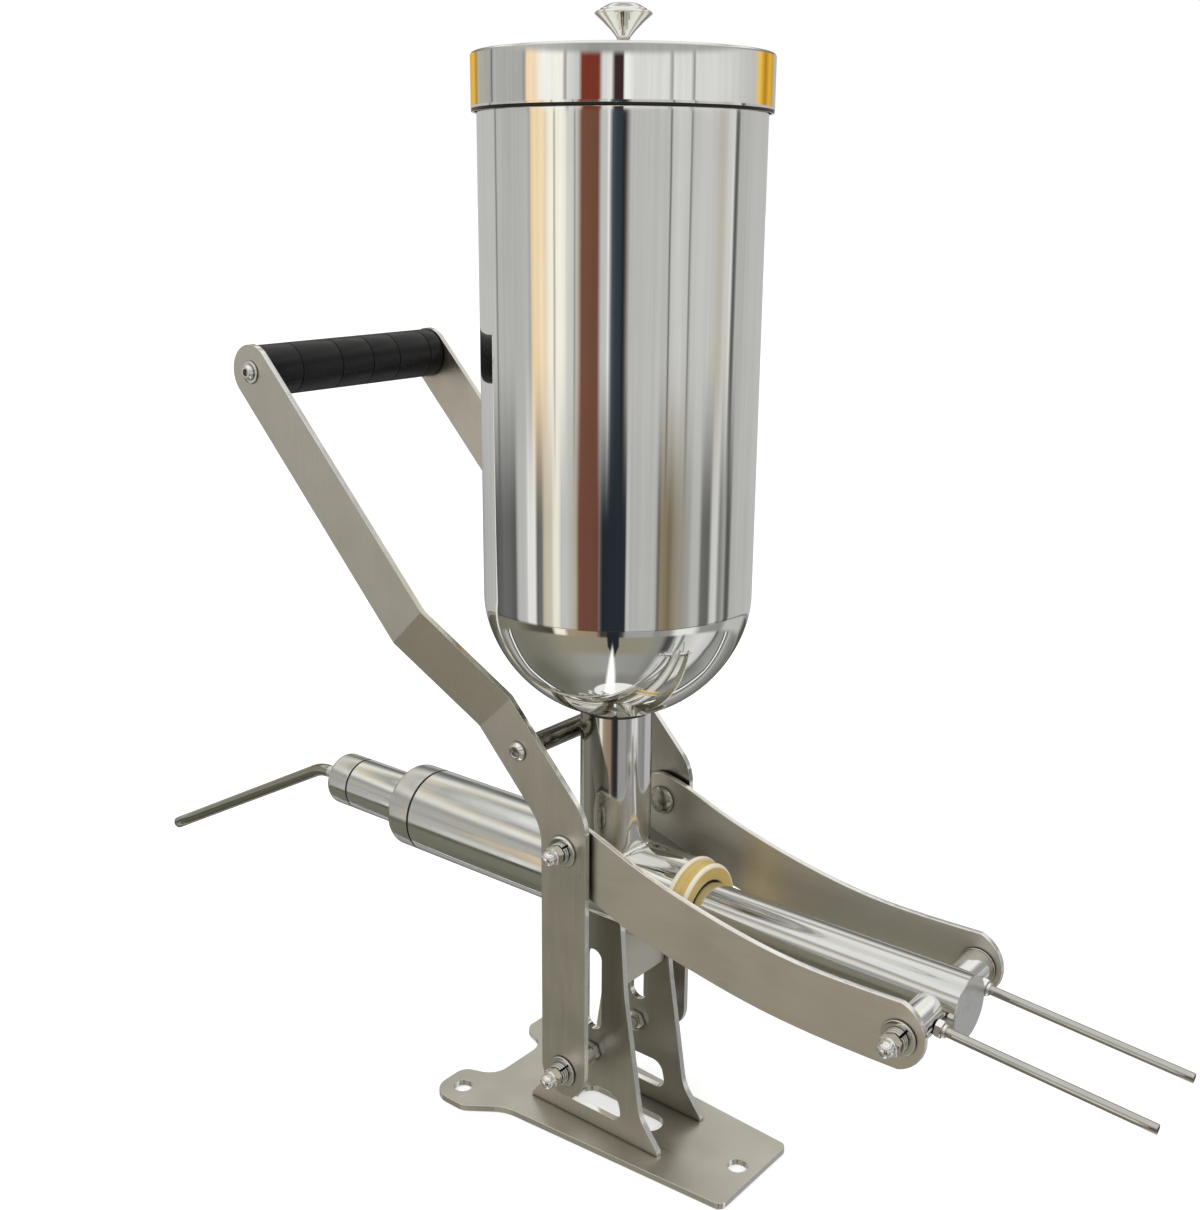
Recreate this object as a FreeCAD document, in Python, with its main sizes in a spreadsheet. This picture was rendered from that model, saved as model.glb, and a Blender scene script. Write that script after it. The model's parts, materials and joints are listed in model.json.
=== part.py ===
"""Hand-worked donut filler: hopper, horizontal plunger pump, yoke lever, links and nozzles.

Axes: +X towards the straight nozzles, +Y to the machine's left side seen from the nozzles' end
looking back, +Z up.  The origin is the front fixing hole, at the underside of the base plate.
All lengths are in millimetres and come from the sheet "dims".
"""
import FreeCAD, Part
import math
import os

V = FreeCAD.Vector
doc = FreeCAD.newDocument("donut_filler")
sheet = doc.addObject("Spreadsheet::Sheet", "dims")

DIMS = [
    # base and brackets
    ("base_thick", 4.0), ("base_front", 106.0), ("base_front_half", 35.0), ("base_waist_x", -50.0),
    ("base_waist_half", 44.5), ("lug_x", -86.0), ("lug_half_pitch", 45.0), ("lug_front", -72.0),
    ("lug_rear", -99.5), ("lug_outer", 60.5), ("lug_inner", 30.5), ("base_rear", -78.0),
    ("fix_hole_rad", 6.0), ("front_hole_x", 93.5), ("slot_back", -26.0), ("slot_front", 37.0),
    ("slot_half", 9.0),
    ("bracket_x", 3.5), ("bracket_in", 20.0), ("bracket_thick", 4.0), ("bracket_foot_half", 49.0),
    ("bracket_top_half", 19.3), ("web_x", 20.5), ("web_thick", 3.0), ("web_bottom", 105.0),
    ("window_rad", 6.0), ("window_low", 71.0), ("window_high", 124.0),
    # pump
    ("pump_z", 160.5), ("pump_rad", 27.2), ("pump_bore", 22.5), ("pump_back", -149.0),
    ("pump_front", 55.0), ("neck_rad", 20.8), ("neck_bore", 18.0), ("neck_top", 267.9),
    ("spigot_rad", 19.2), ("spigot_low", 255.0), ("gasket_high", 269.2),
    # hopper and lid
    ("hopper_rad", 75.0), ("hopper_wall", 1.5), ("dome_z", 337.24), ("knuckle_rad", 54.47), ("knuckle_angle", 17.27), ("crown_rad", 78.32), ("hopper_high", 616.9),
    ("outlet_bore", 17.5), ("lid_rad", 77.8), ("lid_low", 592.0), ("lid_high", 620.5),
    ("lid_wall", 1.5), ("knob_rad", 15.0), ("knob_high", 645.4), ("knob_stem", 2.95),
    # outlet at the back
    ("flange_back", -169.0), ("gasket_wide", 0.8), ("valve_rad", 17.5), ("valve_back", -218.5),
    ("cap_front", -219.2), ("cap_back", -239.0), ("ball_rad", 6.5), ("seat_x", -170.0),
    ("seat_rad", 5.0), ("chamber_rad", 8.0), ("tube_rad", 4.3), ("tube_bore", 3.3),
    ("tube_bend_x", -263.6), ("tube_bend_rad", 32.0), ("tube_end_x", -441.7), ("tube_end_z", 67.2),
    # plunger
    ("rod_rad", 17.4), ("rod_front", 227.3), ("piston_back", 20.0), ("piston_front", 43.8),
    ("piston_rad", 22.44), ("rod_bore", 4.0), ("valve_well", 5.0), ("small_ball", 4.2),
    ("head_bore", 3.5), ("gland_rad", 27.4), ("gland_front", 67.2), ("gland_bore", 17.47),
    ("cross_x", 212.0), ("cross_rad", 9.5), ("cross_half", 40.5), ("stud_rad", 3.0),
    ("nozzle_y", 25.2), ("nozzle_rad", 2.5), ("nozzle_bore", 1.8), ("nozzle_reach", 118.9),
    ("nozzle_droop", 4.4),
    # lever and links
    ("pivot_x", 3.0), ("pivot_low_z", 56.0), ("pivot_mid_z", 197.0), ("arm_wide", 32.5),
    ("arm_thick", 3.5), ("arm_in_low", 47.8), ("arm_in_high", 71.5), ("knee_x", 7.65),
    ("knee_z", 208.95), ("arm_angle", 46.5), ("crease_low", 82.0), ("crease_high", 146.0),
    ("grip_along", 330.5), ("grip_rad", 15.5), ("bar_along", 55.0), ("bar_rad", 6.0),
    ("link_in", 42.0), ("link_thick", 3.5), ("link_hole_play", 2.8), ("link_hole_dx", 0.59), ("link_hole_dz", -2.61),
    ("washer_rad", 9.2), ("washer_thick", 1.5), ("ring_rad", 6.2), ("ring_thick", 1.6),
    ("nut_rad", 5.8), ("nut_thick", 4.8), ("dome_rad", 4.5), ("dome_rise", 2.2),
]
for row, (alias, value) in enumerate(DIMS, start=1):
    sheet.set("A%d" % row, alias)
    sheet.set("B%d" % row, "%g" % value)
    sheet.setAlias("B%d" % row, alias)
doc.recompute()


def g(alias):
    return float(sheet.get(alias))


TURN = {
    "z": FreeCAD.Rotation(),
    "x": FreeCAD.Rotation(V(0, 1, 0), 90),
    "y": FreeCAD.Rotation(V(1, 0, 0), -90),
    "-y": FreeCAD.Rotation(V(1, 0, 0), 90),
    "-x": FreeCAD.Rotation(V(0, 1, 0), -90),
}
nodes = {}
count = [0]


def helper_name(stem):
    count[0] += 1
    return "%s_h%03d" % (stem, count[0])


def num(e):
    """A number or an expression on the sheet."""
    return isinstance(e, (int, float))


def bind(obj, prop, e):
    if num(e):
        setattr(obj, prop, e)
    else:
        obj.setExpression(prop, e)


def cyl(rad, length, at, axis="z", stem="round"):
    o = doc.addObject("Part::Cylinder", helper_name(stem))
    bind(o, "Radius", rad)
    bind(o, "Height", length)
    o.Placement = FreeCAD.Placement(V(*at), TURN[axis])
    return o


def hexa(rad, length, at, axis="z", stem="hex"):
    o = doc.addObject("Part::Prism", helper_name(stem))
    o.Polygon = 6
    bind(o, "Circumradius", rad)
    bind(o, "Height", length)
    o.Placement = FreeCAD.Placement(V(*at), TURN[axis])
    return o


def torus(major, minor, at, axis="z"):
    o = doc.addObject("Part::Torus", helper_name("ring"))
    o.Radius1 = major
    o.Radius2 = minor
    o.Placement = FreeCAD.Placement(V(*at), TURN[axis])
    return o


def ball(rad, at):
    o = doc.addObject("Part::Sphere", helper_name("ball"))
    bind(o, "Radius", rad)
    o.Placement = FreeCAD.Placement(V(*at), FreeCAD.Rotation())
    return o


def fuse(items, stem="joined"):
    if len(items) == 1:
        return items[0]
    o = doc.addObject("Part::MultiFuse", helper_name(stem))
    o.Shapes = items
    return o


def cut(base, tools, stem="cut"):
    tool = fuse(tools, "tools")
    o = doc.addObject("Part::Cut", helper_name(stem))
    o.Base = base
    o.Tool = tool
    return o


def solid(shape, stem="shape"):
    o = doc.addObject("Part::Feature", helper_name(stem))
    o.Shape = shape
    return o


def node(name, obj):
    """Make obj the sub-part called name."""
    obj.Label = name
    nodes[name] = obj
    return obj


def group(name, items):
    o = doc.addObject("Part::Compound", helper_name("group"))
    o.Links = items
    return node(name, o)


def rounded_wire(points, plane):
    """Closed wire through (a, b, fillet radius) corners; plane maps (a, b) to a vector."""
    n = len(points)
    edges = []
    ends = []
    for i in range(n):
        a, b, r = points[i]
        p0, p1 = points[i - 1][:2], points[(i + 1) % n][:2]
        ux, uy = p0[0] - a, p0[1] - b
        vx, vy = p1[0] - a, p1[1] - b
        lu, lv = math.hypot(ux, uy), math.hypot(vx, vy)
        ux, uy, vx, vy = ux / lu, uy / lu, vx / lv, vy / lv
        ang = math.acos(max(-1.0, min(1.0, ux * vx + uy * vy)))
        if r <= 0 or abs(ang - math.pi) < 1e-4:
            ends.append(((a, b), (a, b), None))
            continue
        t = r / math.tan(ang / 2)
        bx, by = ux + vx, uy + vy
        lb = math.hypot(bx, by)
        d = r / math.sin(ang / 2) - r
        ends.append(((a + ux * t, b + uy * t), (a + vx * t, b + vy * t),
                     (a + bx / lb * d, b + by / lb * d)))
    for i in range(n):
        start, end, mid = ends[i]
        if mid is not None:
            edges.append(Part.Arc(plane(*start), plane(*mid), plane(*end)).toShape())
        nxt = ends[(i + 1) % n][0]
        if math.hypot(nxt[0] - end[0], nxt[1] - end[1]) > 1e-6:
            edges.append(Part.LineSegment(plane(*end), plane(*nxt)).toShape())
    return Part.Wire(edges)


def plate(points, plane, direction, stem="plate"):
    return solid(Part.Face(rounded_wire(points, plane)).extrude(direction), stem)


def lathe(points, at, axis, stem="turned"):
    """Turn a closed (radius, height) outline with corner radii about an axis through at."""
    up = {"z": V(0, 0, 1), "x": V(1, 0, 0), "-x": V(-1, 0, 0), "y": V(0, 1, 0), "-y": V(0, -1, 0)}[axis]
    side = V(0, 1, 0) if axis in ("x", "-x") else V(1, 0, 0)
    o = V(*at)
    wire = rounded_wire(points, lambda r, h: o + side * r + up * h)
    return solid(Part.Face(wire).revolve(o, up, 360), stem)


zp = g("pump_z")
px = g("pivot_x")

# ---------------------------------------------------------------- base plate
flat = lambda x, y: V(x, y, 0)
half = [
    (g("base_front"), g("base_front_half"), 5.0),
    (g("base_waist_x"), g("base_waist_half"), 26.0),
    (g("lug_front"), g("lug_outer"), 11.0),
    (g("lug_rear"), g("lug_outer"), 13.0),
    (g("lug_rear"), g("lug_inner"), 9.0),
    (g("base_rear"), 23.0, 14.0),
]
outline = half + [(x, -y, r) for x, y, r in reversed(half)]
base = plate(outline, flat, V(0, 0, g("base_thick")), "base")
ends = g("slot_half")
slot = plate([(g("slot_back"), -ends, ends - 0.01), (g("slot_front"), -ends, ends - 0.01),
              (g("slot_front"), ends, ends - 0.01), (g("slot_back"), ends, ends - 0.01)],
             lambda x, y: V(x, y, -1), V(0, 0, g("base_thick") + 2), "slot")
holes = [cyl("dims.fix_hole_rad", "dims.base_thick + 2", (g("lug_x"), s * g("lug_half_pitch"), -1))
         for s in (-1, 1)]
holes.append(cyl("dims.fix_hole_rad", "dims.base_thick + 2", (g("front_hole_x"), 0, -1)))
node("base_plate", cut(base, [slot] + holes))

# ---------------------------------------------------------------- brackets and web
bt = g("base_thick")
bx = g("bracket_x")


def bracket(side):
    y0 = side * g("bracket_in")
    if side < 0:
        y0 -= g("bracket_thick")
    plane = lambda x, z: V(bx + x, y0, z)
    f, t = g("bracket_foot_half"), g("bracket_top_half")
    pts = [(-f, bt, 0), (-f, bt + 2.5, 2), (-35.5, 24, 24), (-23.4, 100, 160), (-t, 152, 4),
           (t, 152, 4), (23.4, 100, 160), (35.5, 24, 24), (f, bt + 2.5, 2), (f, bt, 0)]
    body = plate(pts, plane, V(0, g("bracket_thick"), 0), "bracket")
    through = V(0, g("bracket_thick") + 2, 0)
    inner = lambda x, z: V(bx + x, y0 - 1, z)
    w = g("window_rad")
    up = plate([(-w, g("window_low"), w - 0.01), (w, g("window_low"), w - 0.01),
                (w, g("window_high"), w - 0.01), (-w, g("window_high"), w - 0.01)], inner, through)
    low = plate([(-22.5, 15, 6), (22.5, 15, 6), (18.5, 33, 8), (-18.5, 33, 8)], inner, through)
    pin = cyl("dims.stud_rad + 0.02", "dims.bracket_thick + 2", (px, y0 - 1, g("pivot_low_z")), "y")
    barrel = cyl("dims.pump_rad", 120, (-60, 0, zp), "x")
    return cut(body, [up, low, pin, barrel], "bracket")


node("side_bracket_near", bracket(-1))
node("side_bracket_far", bracket(1))
web = doc.addObject("Part::Box", "web_blank")
bind(web, "Length", "dims.web_thick")
bind(web, "Width", "2 * dims.bracket_in")
web.Height = 50
web.Placement = FreeCAD.Placement(V(g("web_x"), -g("bracket_in"), g("web_bottom")), FreeCAD.Rotation())
node("front_web", cut(web, [cyl("dims.pump_rad", 120, (-60, 0, zp), "x")]))

# ---------------------------------------------------------------- pump cylinder and neck
pb, pf = g("pump_back"), g("pump_front")
barrel = cyl("dims.pump_rad", "dims.pump_front - dims.pump_back", (pb, 0, zp), "x", "barrel")
bore = cyl("dims.pump_bore", "dims.pump_front - dims.pump_back + 2", (pb - 1, 0, zp), "x")
port = cyl("dims.neck_bore", 40, (0, 0, zp))
node("pump_cylinder", cut(barrel, [bore, port]))
neck = cyl("dims.neck_rad", "dims.neck_top - dims.pump_z", (0, 0, zp), "z", "neck")
node("neck_tube", cut(neck, [
    cyl("dims.neck_bore", 200, (0, 0, zp - 20)),
    cyl("dims.spigot_rad + 0.05", 40, (0, 0, g("spigot_low") - 0.3)),
    cyl("dims.pump_rad", 120, (-60, 0, zp), "x"),
]))
node("neck_gasket", cut(cyl("dims.neck_rad + 0.1", "dims.gasket_high - dims.neck_top", (0, 0, g("neck_top"))),
                        [cyl("dims.spigot_rad + 0.05", 10, (0, 0, g("neck_top") - 2))]))

# ---------------------------------------------------------------- hopper
R, w = g("hopper_rad"), g("hopper_wall")
dz, ob, sr = g("dome_z"), g("outlet_bore"), g("spigot_rad")
nr = g("neck_rad")
r0 = R - w
ka, kr, cr = math.radians(g("knuckle_angle")), g("knuckle_rad"), g("crown_rad")
# the bottom is a knuckle arc that turns out of the wall and a wider arc tangent to it
turn_r, turn_z = R - kr + kr * math.cos(ka), dz - kr * math.sin(ka)
crown_r, crown_z = turn_r - cr * math.cos(ka), turn_z + cr * math.sin(ka)
wide_z = lambda r, rad: crown_z - math.sqrt(rad * rad - (r - crown_r) ** 2)
z_out, z_in = wide_z(nr, cr), wide_z(ob, cr - w)
pt = lambda r, z: V(r, 0, z)
on_knuckle = lambda rad, a: pt(R - kr + rad * math.cos(a), dz - rad * math.sin(a))
on_crown = lambda rad, a: pt(crown_r + rad * math.cos(a), crown_z - rad * math.sin(a))
a_out = (ka + math.acos((nr - crown_r) / cr)) / 2
a_in = (ka + math.acos((ob - crown_r) / (cr - w))) / 2
prof = Part.Wire([
    Part.LineSegment(pt(ob, g("gasket_high")), pt(nr, g("gasket_high"))).toShape(),
    Part.LineSegment(pt(nr, g("gasket_high")), pt(nr, z_out)).toShape(),
    Part.Arc(pt(nr, z_out), on_crown(cr, a_out), on_knuckle(kr, ka)).toShape(),
    Part.Arc(on_knuckle(kr, ka), on_knuckle(kr, ka / 2), pt(R, dz)).toShape(),
    Part.LineSegment(pt(R, dz), pt(R, g("hopper_high"))).toShape(),
    Part.LineSegment(pt(R, g("hopper_high")), pt(r0, g("hopper_high"))).toShape(),
    Part.LineSegment(pt(r0, g("hopper_high")), pt(r0, dz)).toShape(),
    Part.Arc(pt(r0, dz), on_knuckle(kr - w, ka / 2), on_knuckle(kr - w, ka)).toShape(),
    Part.Arc(on_knuckle(kr - w, ka), on_crown(cr - w, a_in), pt(ob, z_in)).toShape(),
    Part.LineSegment(pt(ob, z_in), pt(ob, g("gasket_high"))).toShape(),
])
node("hopper", solid(Part.Face(prof).revolve(V(0, 0, 0), V(0, 0, 1), 360), "hopper"))
# the short tube welded under the outlet hole, which plugs into the neck
node("hopper_spigot", cut(cyl("dims.spigot_rad", "dims.gasket_high - dims.spigot_low", (0, 0, g("spigot_low"))),
                          [cyl("dims.outlet_bore", 40, (0, 0, g("spigot_low") - 10))]))

# ---------------------------------------------------------------- lid and knob
L, ll, lh, lw = g("lid_rad"), g("lid_low"), g("lid_high"), g("lid_wall")
node("lid", lathe([(2.1, lh - lw, 0), (L - lw, lh - lw, 0.4), (L - lw, ll, 0), (L, ll, 0),
                   (L, lh, 1.6), (2.1, lh, 0)], (0, 0, 0), "z", "lid"))
k, kh, ks = g("knob_rad"), g("knob_high"), g("knob_stem")
node("lid_knob", lathe([(2.05, lh, 0), (6.4, lh, 0), (5.8, lh + 0.9, 0.4), (ks + 0.45, lh + 2.1, 1.0), (ks, lh + 5.5, 3.0),
                        (3.6, lh + 8.3, 3.0), (6.2, lh + 11.4, 5.0), (10.4, lh + 15.5, 6.0), (k - 0.8, kh - 6.1, 0),
                        (k, kh - 5.6, 0.2), (k - 1.0, kh - 4.5, 0.5), (k - 2.8, kh - 3.8, 0.4), (k - 3.4, kh - 3.1, 0.4),
                        (7.0, kh - 0.7, 8.0), (0, kh, 0), (0, kh - 8, 0), (2.05, kh - 8, 0)],
                       (0, 0, 0), "z", "knob"))
knob_screw = fuse([cyl(2.0, kh - 9.3 - (lh - lw), (0, 0, lh - lw)), hexa(4.0, 3.2, (0, 0, lh - lw - 3.2))])
node("lid_knob_screw", knob_screw)

# ---------------------------------------------------------------- gland
gr, gf, gb = g("gland_rad"), g("gland_front"), g("gland_bore")
node("gland_seat_ring", cut(cyl("dims.gland_rad + 1.6", 2.6, (pf, 0, zp), "x"),
                            [cyl("dims.pump_bore", 10, (pf - 2, 0, zp), "x")]))
gland = lathe([(gb, 45.5, 0), (22.4, 45.5, 0.8), (22.4, pf + 2.6, 0), (gr, pf + 2.6, 0), (gr, gf, 2.2),
               (18.35, gf, 0), (18.35, gf - 2, 0), (gb, gf - 2, 0)], (0, 0, zp), "x", "gland")
grooves = [cut(cyl(20.6, 3.4, (x, 0, zp), "x"), [cyl(15, 10, (x - 3, 0, zp), "x")]) for x in (48.3, 59.3)]
node("gland_bushing", cut(gland, grooves))
group("rod_seals", [torus(19.0, 1.5, (x + 1.7, 0, zp), "x") for x in (48.3, 59.3)])
node("rod_wiper_ring", lathe([(17.55, gf - 2, 0), (18.3, gf - 2, 0), (18.3, gf - 0.2, 0.2), (17.55, gf - 0.2, 0.1)],
                             (0, 0, zp), "x", "wiper"))

# ---------------------------------------------------------------- outlet at the back
fb, gw = g("flange_back"), g("gasket_wide")
node("flange_gasket", cut(cyl("dims.pump_rad - 0.5", "dims.gasket_wide", (pb - gw, 0, zp), "x"),
                          [cyl("dims.pump_bore", 6, (pb - 3, 0, zp), "x")]))
flange = lathe([(10, -(pb + 13), 0), (22.4, -(pb + 13), 0.8), (22.4, -(pb - gw), 0), (g("pump_rad"), -(pb - gw), 0.4),
                (g("pump_rad"), -fb, 3.0), (14.05, -fb, 0), (14.05, -(fb + 12), 0), (10, -(fb + 12), 0)],
               (0, 0, zp), "-x", "flange")
node("outlet_flange_cap", flange)
vb, vr, sx = g("valve_back"), g("valve_rad"), g("seat_x")
node("outlet_valve_body", lathe([
    (g("seat_rad"), -(fb + 11.8), 0), (14.0, -(fb + 11.8), 0.6), (14.0, -(fb - 0.05), 0), (vr, -(fb - 0.05), 0.5),
    (vr, -vb, 0.4), (12.05, -vb, 0), (12.05, -(vb + 12), 0), (g("chamber_rad"), -(vb + 12), 0),
    (g("chamber_rad"), -sx, 0), (g("seat_rad"), -sx, 0)], (0, 0, zp), "-x", "valve"))
cf, cb = g("cap_front"), g("cap_back")
node("outlet_end_cap", lathe([
    (g("tube_bore"), -(vb + 11.7), 0), (12.0, -(vb + 11.7), 0.6), (12.0, -cf, 0), (vr, -cf, 0.4), (vr, -cb, 3.2),
    (6.4, -cb, 0), (6.4, -(cb + 3.0), 0), (4.35, -(cb + 3.0), 0), (4.35, -(cb + 15.0), 0),
    (g("tube_bore"), -(cb + 15.0), 0)], (0, 0, zp), "-x", "cap"))
node("end_cap_seal", cut(cyl("dims.valve_rad - 0.6", "dims.valve_back - dims.cap_front", (cf, 0, zp), "x"),
                         [cyl(12.05, 6, (cf - 2, 0, zp), "x")]))
node("nozzle_swivel_seal", torus(5.37, 1.0, (cb + 1.6, 0, zp), "x"))
br = g("ball_rad")
ball_x = sx - math.sqrt(br * br - g("seat_rad") ** 2) - 0.05
node("outlet_valve_ball", ball("dims.ball_rad", (ball_x, 0, zp)))


def coil(x0, x1, rad, wire_rad, turns):
    length = abs(x1 - x0) - 2 * wire_rad
    pitch, div = length / turns, 4
    edges = []
    for i in range(turns * div):
        e = Part.makeHelix(pitch, pitch / div, rad).Edges[0].copy()
        e.rotate(V(0, 0, 0), V(0, 0, 1), 360.0 * i / div)
        e.translate(V(0, 0, pitch * i / div))
        edges.append(e)
    t = math.atan2(pitch, 2 * math.pi * rad)
    circle = Part.Wire([Part.makeCircle(wire_rad, V(rad, 0, 0), V(0, math.cos(t), math.sin(t)))])
    body = Part.Wire(Part.__sortEdges__(edges)).makePipeShell([circle], True, True)
    body.translate(V(0, 0, wire_rad))
    body.Placement = FreeCAD.Placement(V(min(x0, x1), 0, zp), TURN["x"]).multiply(body.Placement)
    return solid(body, "coil")


node("outlet_valve_spring", coil(ball_x - br - 0.15 + 2.2, vb + 11.9, 5.6, 0.6, 6))

# bent outlet tube, free to swivel in the end cap
tr, tbr = g("tube_rad"), g("tube_bend_rad")
bend = V(g("tube_bend_x"), 0, zp)
tip = V(g("tube_end_x"), 0, g("tube_end_z"))
start = V(cb + 14.6, 0, zp)
out = (tip - bend).normalize()
turn = math.acos(max(-1, min(1, out.dot(V(-1, 0, 0)))))
tan = tbr * math.tan(turn / 2)
pa, pc = bend + V(1, 0, 0) * tan, bend + out * tan
inward = (V(1, 0, 0) + out).normalize()
pm = bend + inward * (tbr / math.cos(turn / 2) - tbr)


def swept(rad):
    path = Part.Wire([Part.LineSegment(start, pa).toShape(), Part.Arc(pa, pm, pc).toShape(),
                      Part.LineSegment(pc, tip).toShape()])
    ring = Part.Wire([Part.makeCircle(rad, start, V(-1, 0, 0))])
    return path.makePipeShell([ring], True, True)


node("bent_nozzle", solid(swept(tr).cut(swept(g("tube_bore"))), "bent"))

# ---------------------------------------------------------------- plunger
kb, kf = g("piston_back"), g("piston_front")
rr, cx = g("rod_rad"), g("cross_x")
rod = fuse([cyl("dims.rod_rad", "dims.rod_front - dims.piston_front", (kf, 0, zp), "x"),
            cyl(10.0, "dims.piston_front - dims.piston_back - 4", (kb + 4, 0, zp), "x")])
rod = cut(rod, [cyl("dims.rod_bore", "dims.cross_x - dims.piston_back", (kb, 0, zp), "x"),
                cyl("dims.valve_well", 22.0, (kb + 4, 0, zp), "x"),
                cyl("dims.cross_rad + 0.02", 60, (cx, -30, zp), "y")])
node("plunger_rod", rod)
head = lathe([(g("head_bore"), kb, 0), (g("piston_rad"), kb, 1.2), (g("piston_rad"), kf, 0.8), (10.03, kf, 0),
              (10.03, kb + 4, 0), (g("head_bore"), kb + 4, 0)], (0, 0, zp), "x", "head")
cuts = [cut(cyl(26, 3.0, (x, 0, zp), "x"), [cyl(20.0, 8, (x - 2, 0, zp), "x")]) for x in (kb + 5, kb + 15)]
node("piston_head", cut(head, cuts))
group("piston_seals", [torus(21.2, 1.2, (x + 1.5, 0, zp), "x") for x in (kb + 5, kb + 15)])
sb = g("small_ball")
small_x = kb + 4 + math.sqrt(sb * sb - g("head_bore") ** 2) + 0.05
node("plunger_valve_ball", ball("dims.small_ball", (small_x, 0, zp)))
node("plunger_valve_spring", coil(small_x + sb - 1.2, kb + 25.8, 3.9, 0.45, 6))

# crosshead with its passage, ports and studs
droop = math.radians(g("nozzle_droop"))
axis_n = V(math.cos(droop), 0, -math.sin(droop))
cy = g("cross_half")
bar = fuse([cyl("dims.cross_rad", "2 * dims.cross_half", (cx, -cy, zp), "y"),
            cyl("dims.stud_rad", 114.0, (cx, -57.0, zp), "y")])
ny = g("nozzle_y")
ports = [cyl(3.0, "2 * dims.nozzle_y + 4", (cx, -ny - 2, zp), "y"),
         cyl("dims.rod_bore", 20, (cx - 20, 0, zp), "x")]
for s in (-1, 1):
    p = cyl("dims.nozzle_rad + 0.03", 14, (cx, s * ny, zp), "z")
    p.Placement = FreeCAD.Placement(V(cx, s * ny, zp), FreeCAD.Rotation(V(0, 0, 1), axis_n))
    ports.append(p)
node("crosshead_bar", cut(bar, ports))


def along(rad_out, rad_in, d0, d1, s, six=False):
    """Ring or hexagon on a nozzle's axis, from d0 to d1 out of the crosshead's centre."""
    make = hexa if six else cyl
    a = make(rad_out, d1 - d0, (0, 0, 0))
    b = cyl(rad_in, d1 - d0 + 2, (0, 0, 0))
    rot = FreeCAD.Rotation(V(0, 0, 1), axis_n)
    a.Placement = FreeCAD.Placement(V(cx, s * ny, zp) + axis_n * d0, rot)
    b.Placement = FreeCAD.Placement(V(cx, s * ny, zp) + axis_n * (d0 - 1), rot)
    return cut(a, [b])


for s, side in ((-1, "near"), (1, "far")):
    node("nozzle_" + side, along("dims.nozzle_rad", "dims.nozzle_bore", 4.0, g("nozzle_reach"), s))
group("nozzle_nuts", [along(4.7, 2.53, 9.6, 13.4, s, True) for s in (-1, 1)])
group("nozzle_nut_rings", [along(3.7, 2.53, 13.4, 15.2, s) for s in (-1, 1)])

# ---------------------------------------------------------------- pivots


def ring(rad_out, rad_in, thick, x, z, y, side):
    """Washer whose inner face is at |y| on the given side."""
    ax = "y" if side > 0 else "-y"
    return cut(cyl(rad_out, thick, (x, side * y, z), ax), [cyl(rad_in, 40, (x, side * (y - 10), z), ax)])


def stack(prefix, x, z, y, rings=3):
    """Plain washer, spring washers and a tall domed nut on both sides, from |y| outward."""
    wt, rt, nt = g("washer_thick"), g("ring_thick"), g("nut_thick")
    hole = "dims.stud_rad + 0.02"
    group(prefix + "_washers", [ring("dims.washer_rad", hole, "dims.washer_thick", x, z, y, s) for s in (-1, 1)])
    items = []
    for s in (-1, 1):
        for i in range(rings):
            yy = y + wt + i * (rt + 0.05)
            tor = torus(g("ring_rad") - 1.15, 0.8, (x, s * (yy + 0.8), z), "y")
            items.append(tor)
    group(prefix + "_spring_washers", items)
    y1 = y + wt + rings * (rt + 0.05)
    nuts = []
    for s in (-1, 1):
        ax = "y" if s > 0 else "-y"
        body = hexa("dims.nut_rad", "dims.nut_thick", (x, s * y1, z), ax)
        neck = cyl("dims.dome_rad", "dims.dome_rise + 0.5", (x, s * (y1 + nt - 0.5), z), ax)
        dome = ball("dims.dome_rad", (x, s * (y1 + nt + g("dome_rise")), z))
        both = fuse([body, neck, dome])
        nuts.append(cut(both, [cyl(hole, 9.0, (x, s * (y1 - 4.2), z), ax)]))
    group(prefix + "_cap_nuts", nuts)


ai, at_ = g("arm_in_low"), g("arm_thick")
li, lt = g("link_in"), g("link_thick")
zl, zm = g("pivot_low_z"), g("pivot_mid_z")
bo = g("bracket_in") + g("bracket_thick")
studs = [cyl("dims.stud_rad", 46.6, (px, s * 16.0, zl), "y" if s > 0 else "-y") for s in (-1, 1)]
group("lever_pivot_studs", studs)
nuts = []
for s in (-1, 1):
    ax = "y" if s > 0 else "-y"
    for y, t in ((bo, 5.0), (g("bracket_in") - 3.8, 3.8)):
        nuts.append(cut(hexa(6.6, t, (px, s * y, zl), ax), [cyl("dims.stud_rad + 0.02", 30, (px, s * (y - 10), zl), ax)]))
group("lever_pivot_inner_nuts", nuts)
group("lever_pivot_spacers", [cut(cyl(7.0, ai - bo - 5.6, (px, s * (bo + 5.2), zl), "y" if s > 0 else "-y"),
                                  [cyl("dims.stud_rad + 0.02", 60, (px, s * 10, zl), "y" if s > 0 else "-y")])
                              for s in (-1, 1)])
stack("lever_pivot", px, zl, ai + at_ + 0.3)

bolts = []
for s in (-1, 1):
    ax = "y" if s > 0 else "-y"
    shank = cyl("dims.stud_rad", 19.1, (px, s * (li - 0.5), zm), ax)
    headb = lathe([(0, -0.4, 0), (8.8, -0.4, 0), (8.8, -1.6, 0.5), (6.2, -3.4, 4.0), (0, -4.2, 0)], (px, s * li, zm), ax, "head")
    bolts.append(fuse([shank, headb]))
group("link_pivot_bolts", bolts)
stack("link_pivot", px, zm, ai + at_, 2)
group("link_pivot_spacers", [ring(9.0, "dims.stud_rad + 0.02", ai - 0.04 - (li + lt + 0.2), px, zm, li + lt + 0.2, s)
                             for s in (-1, 1)])

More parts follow.
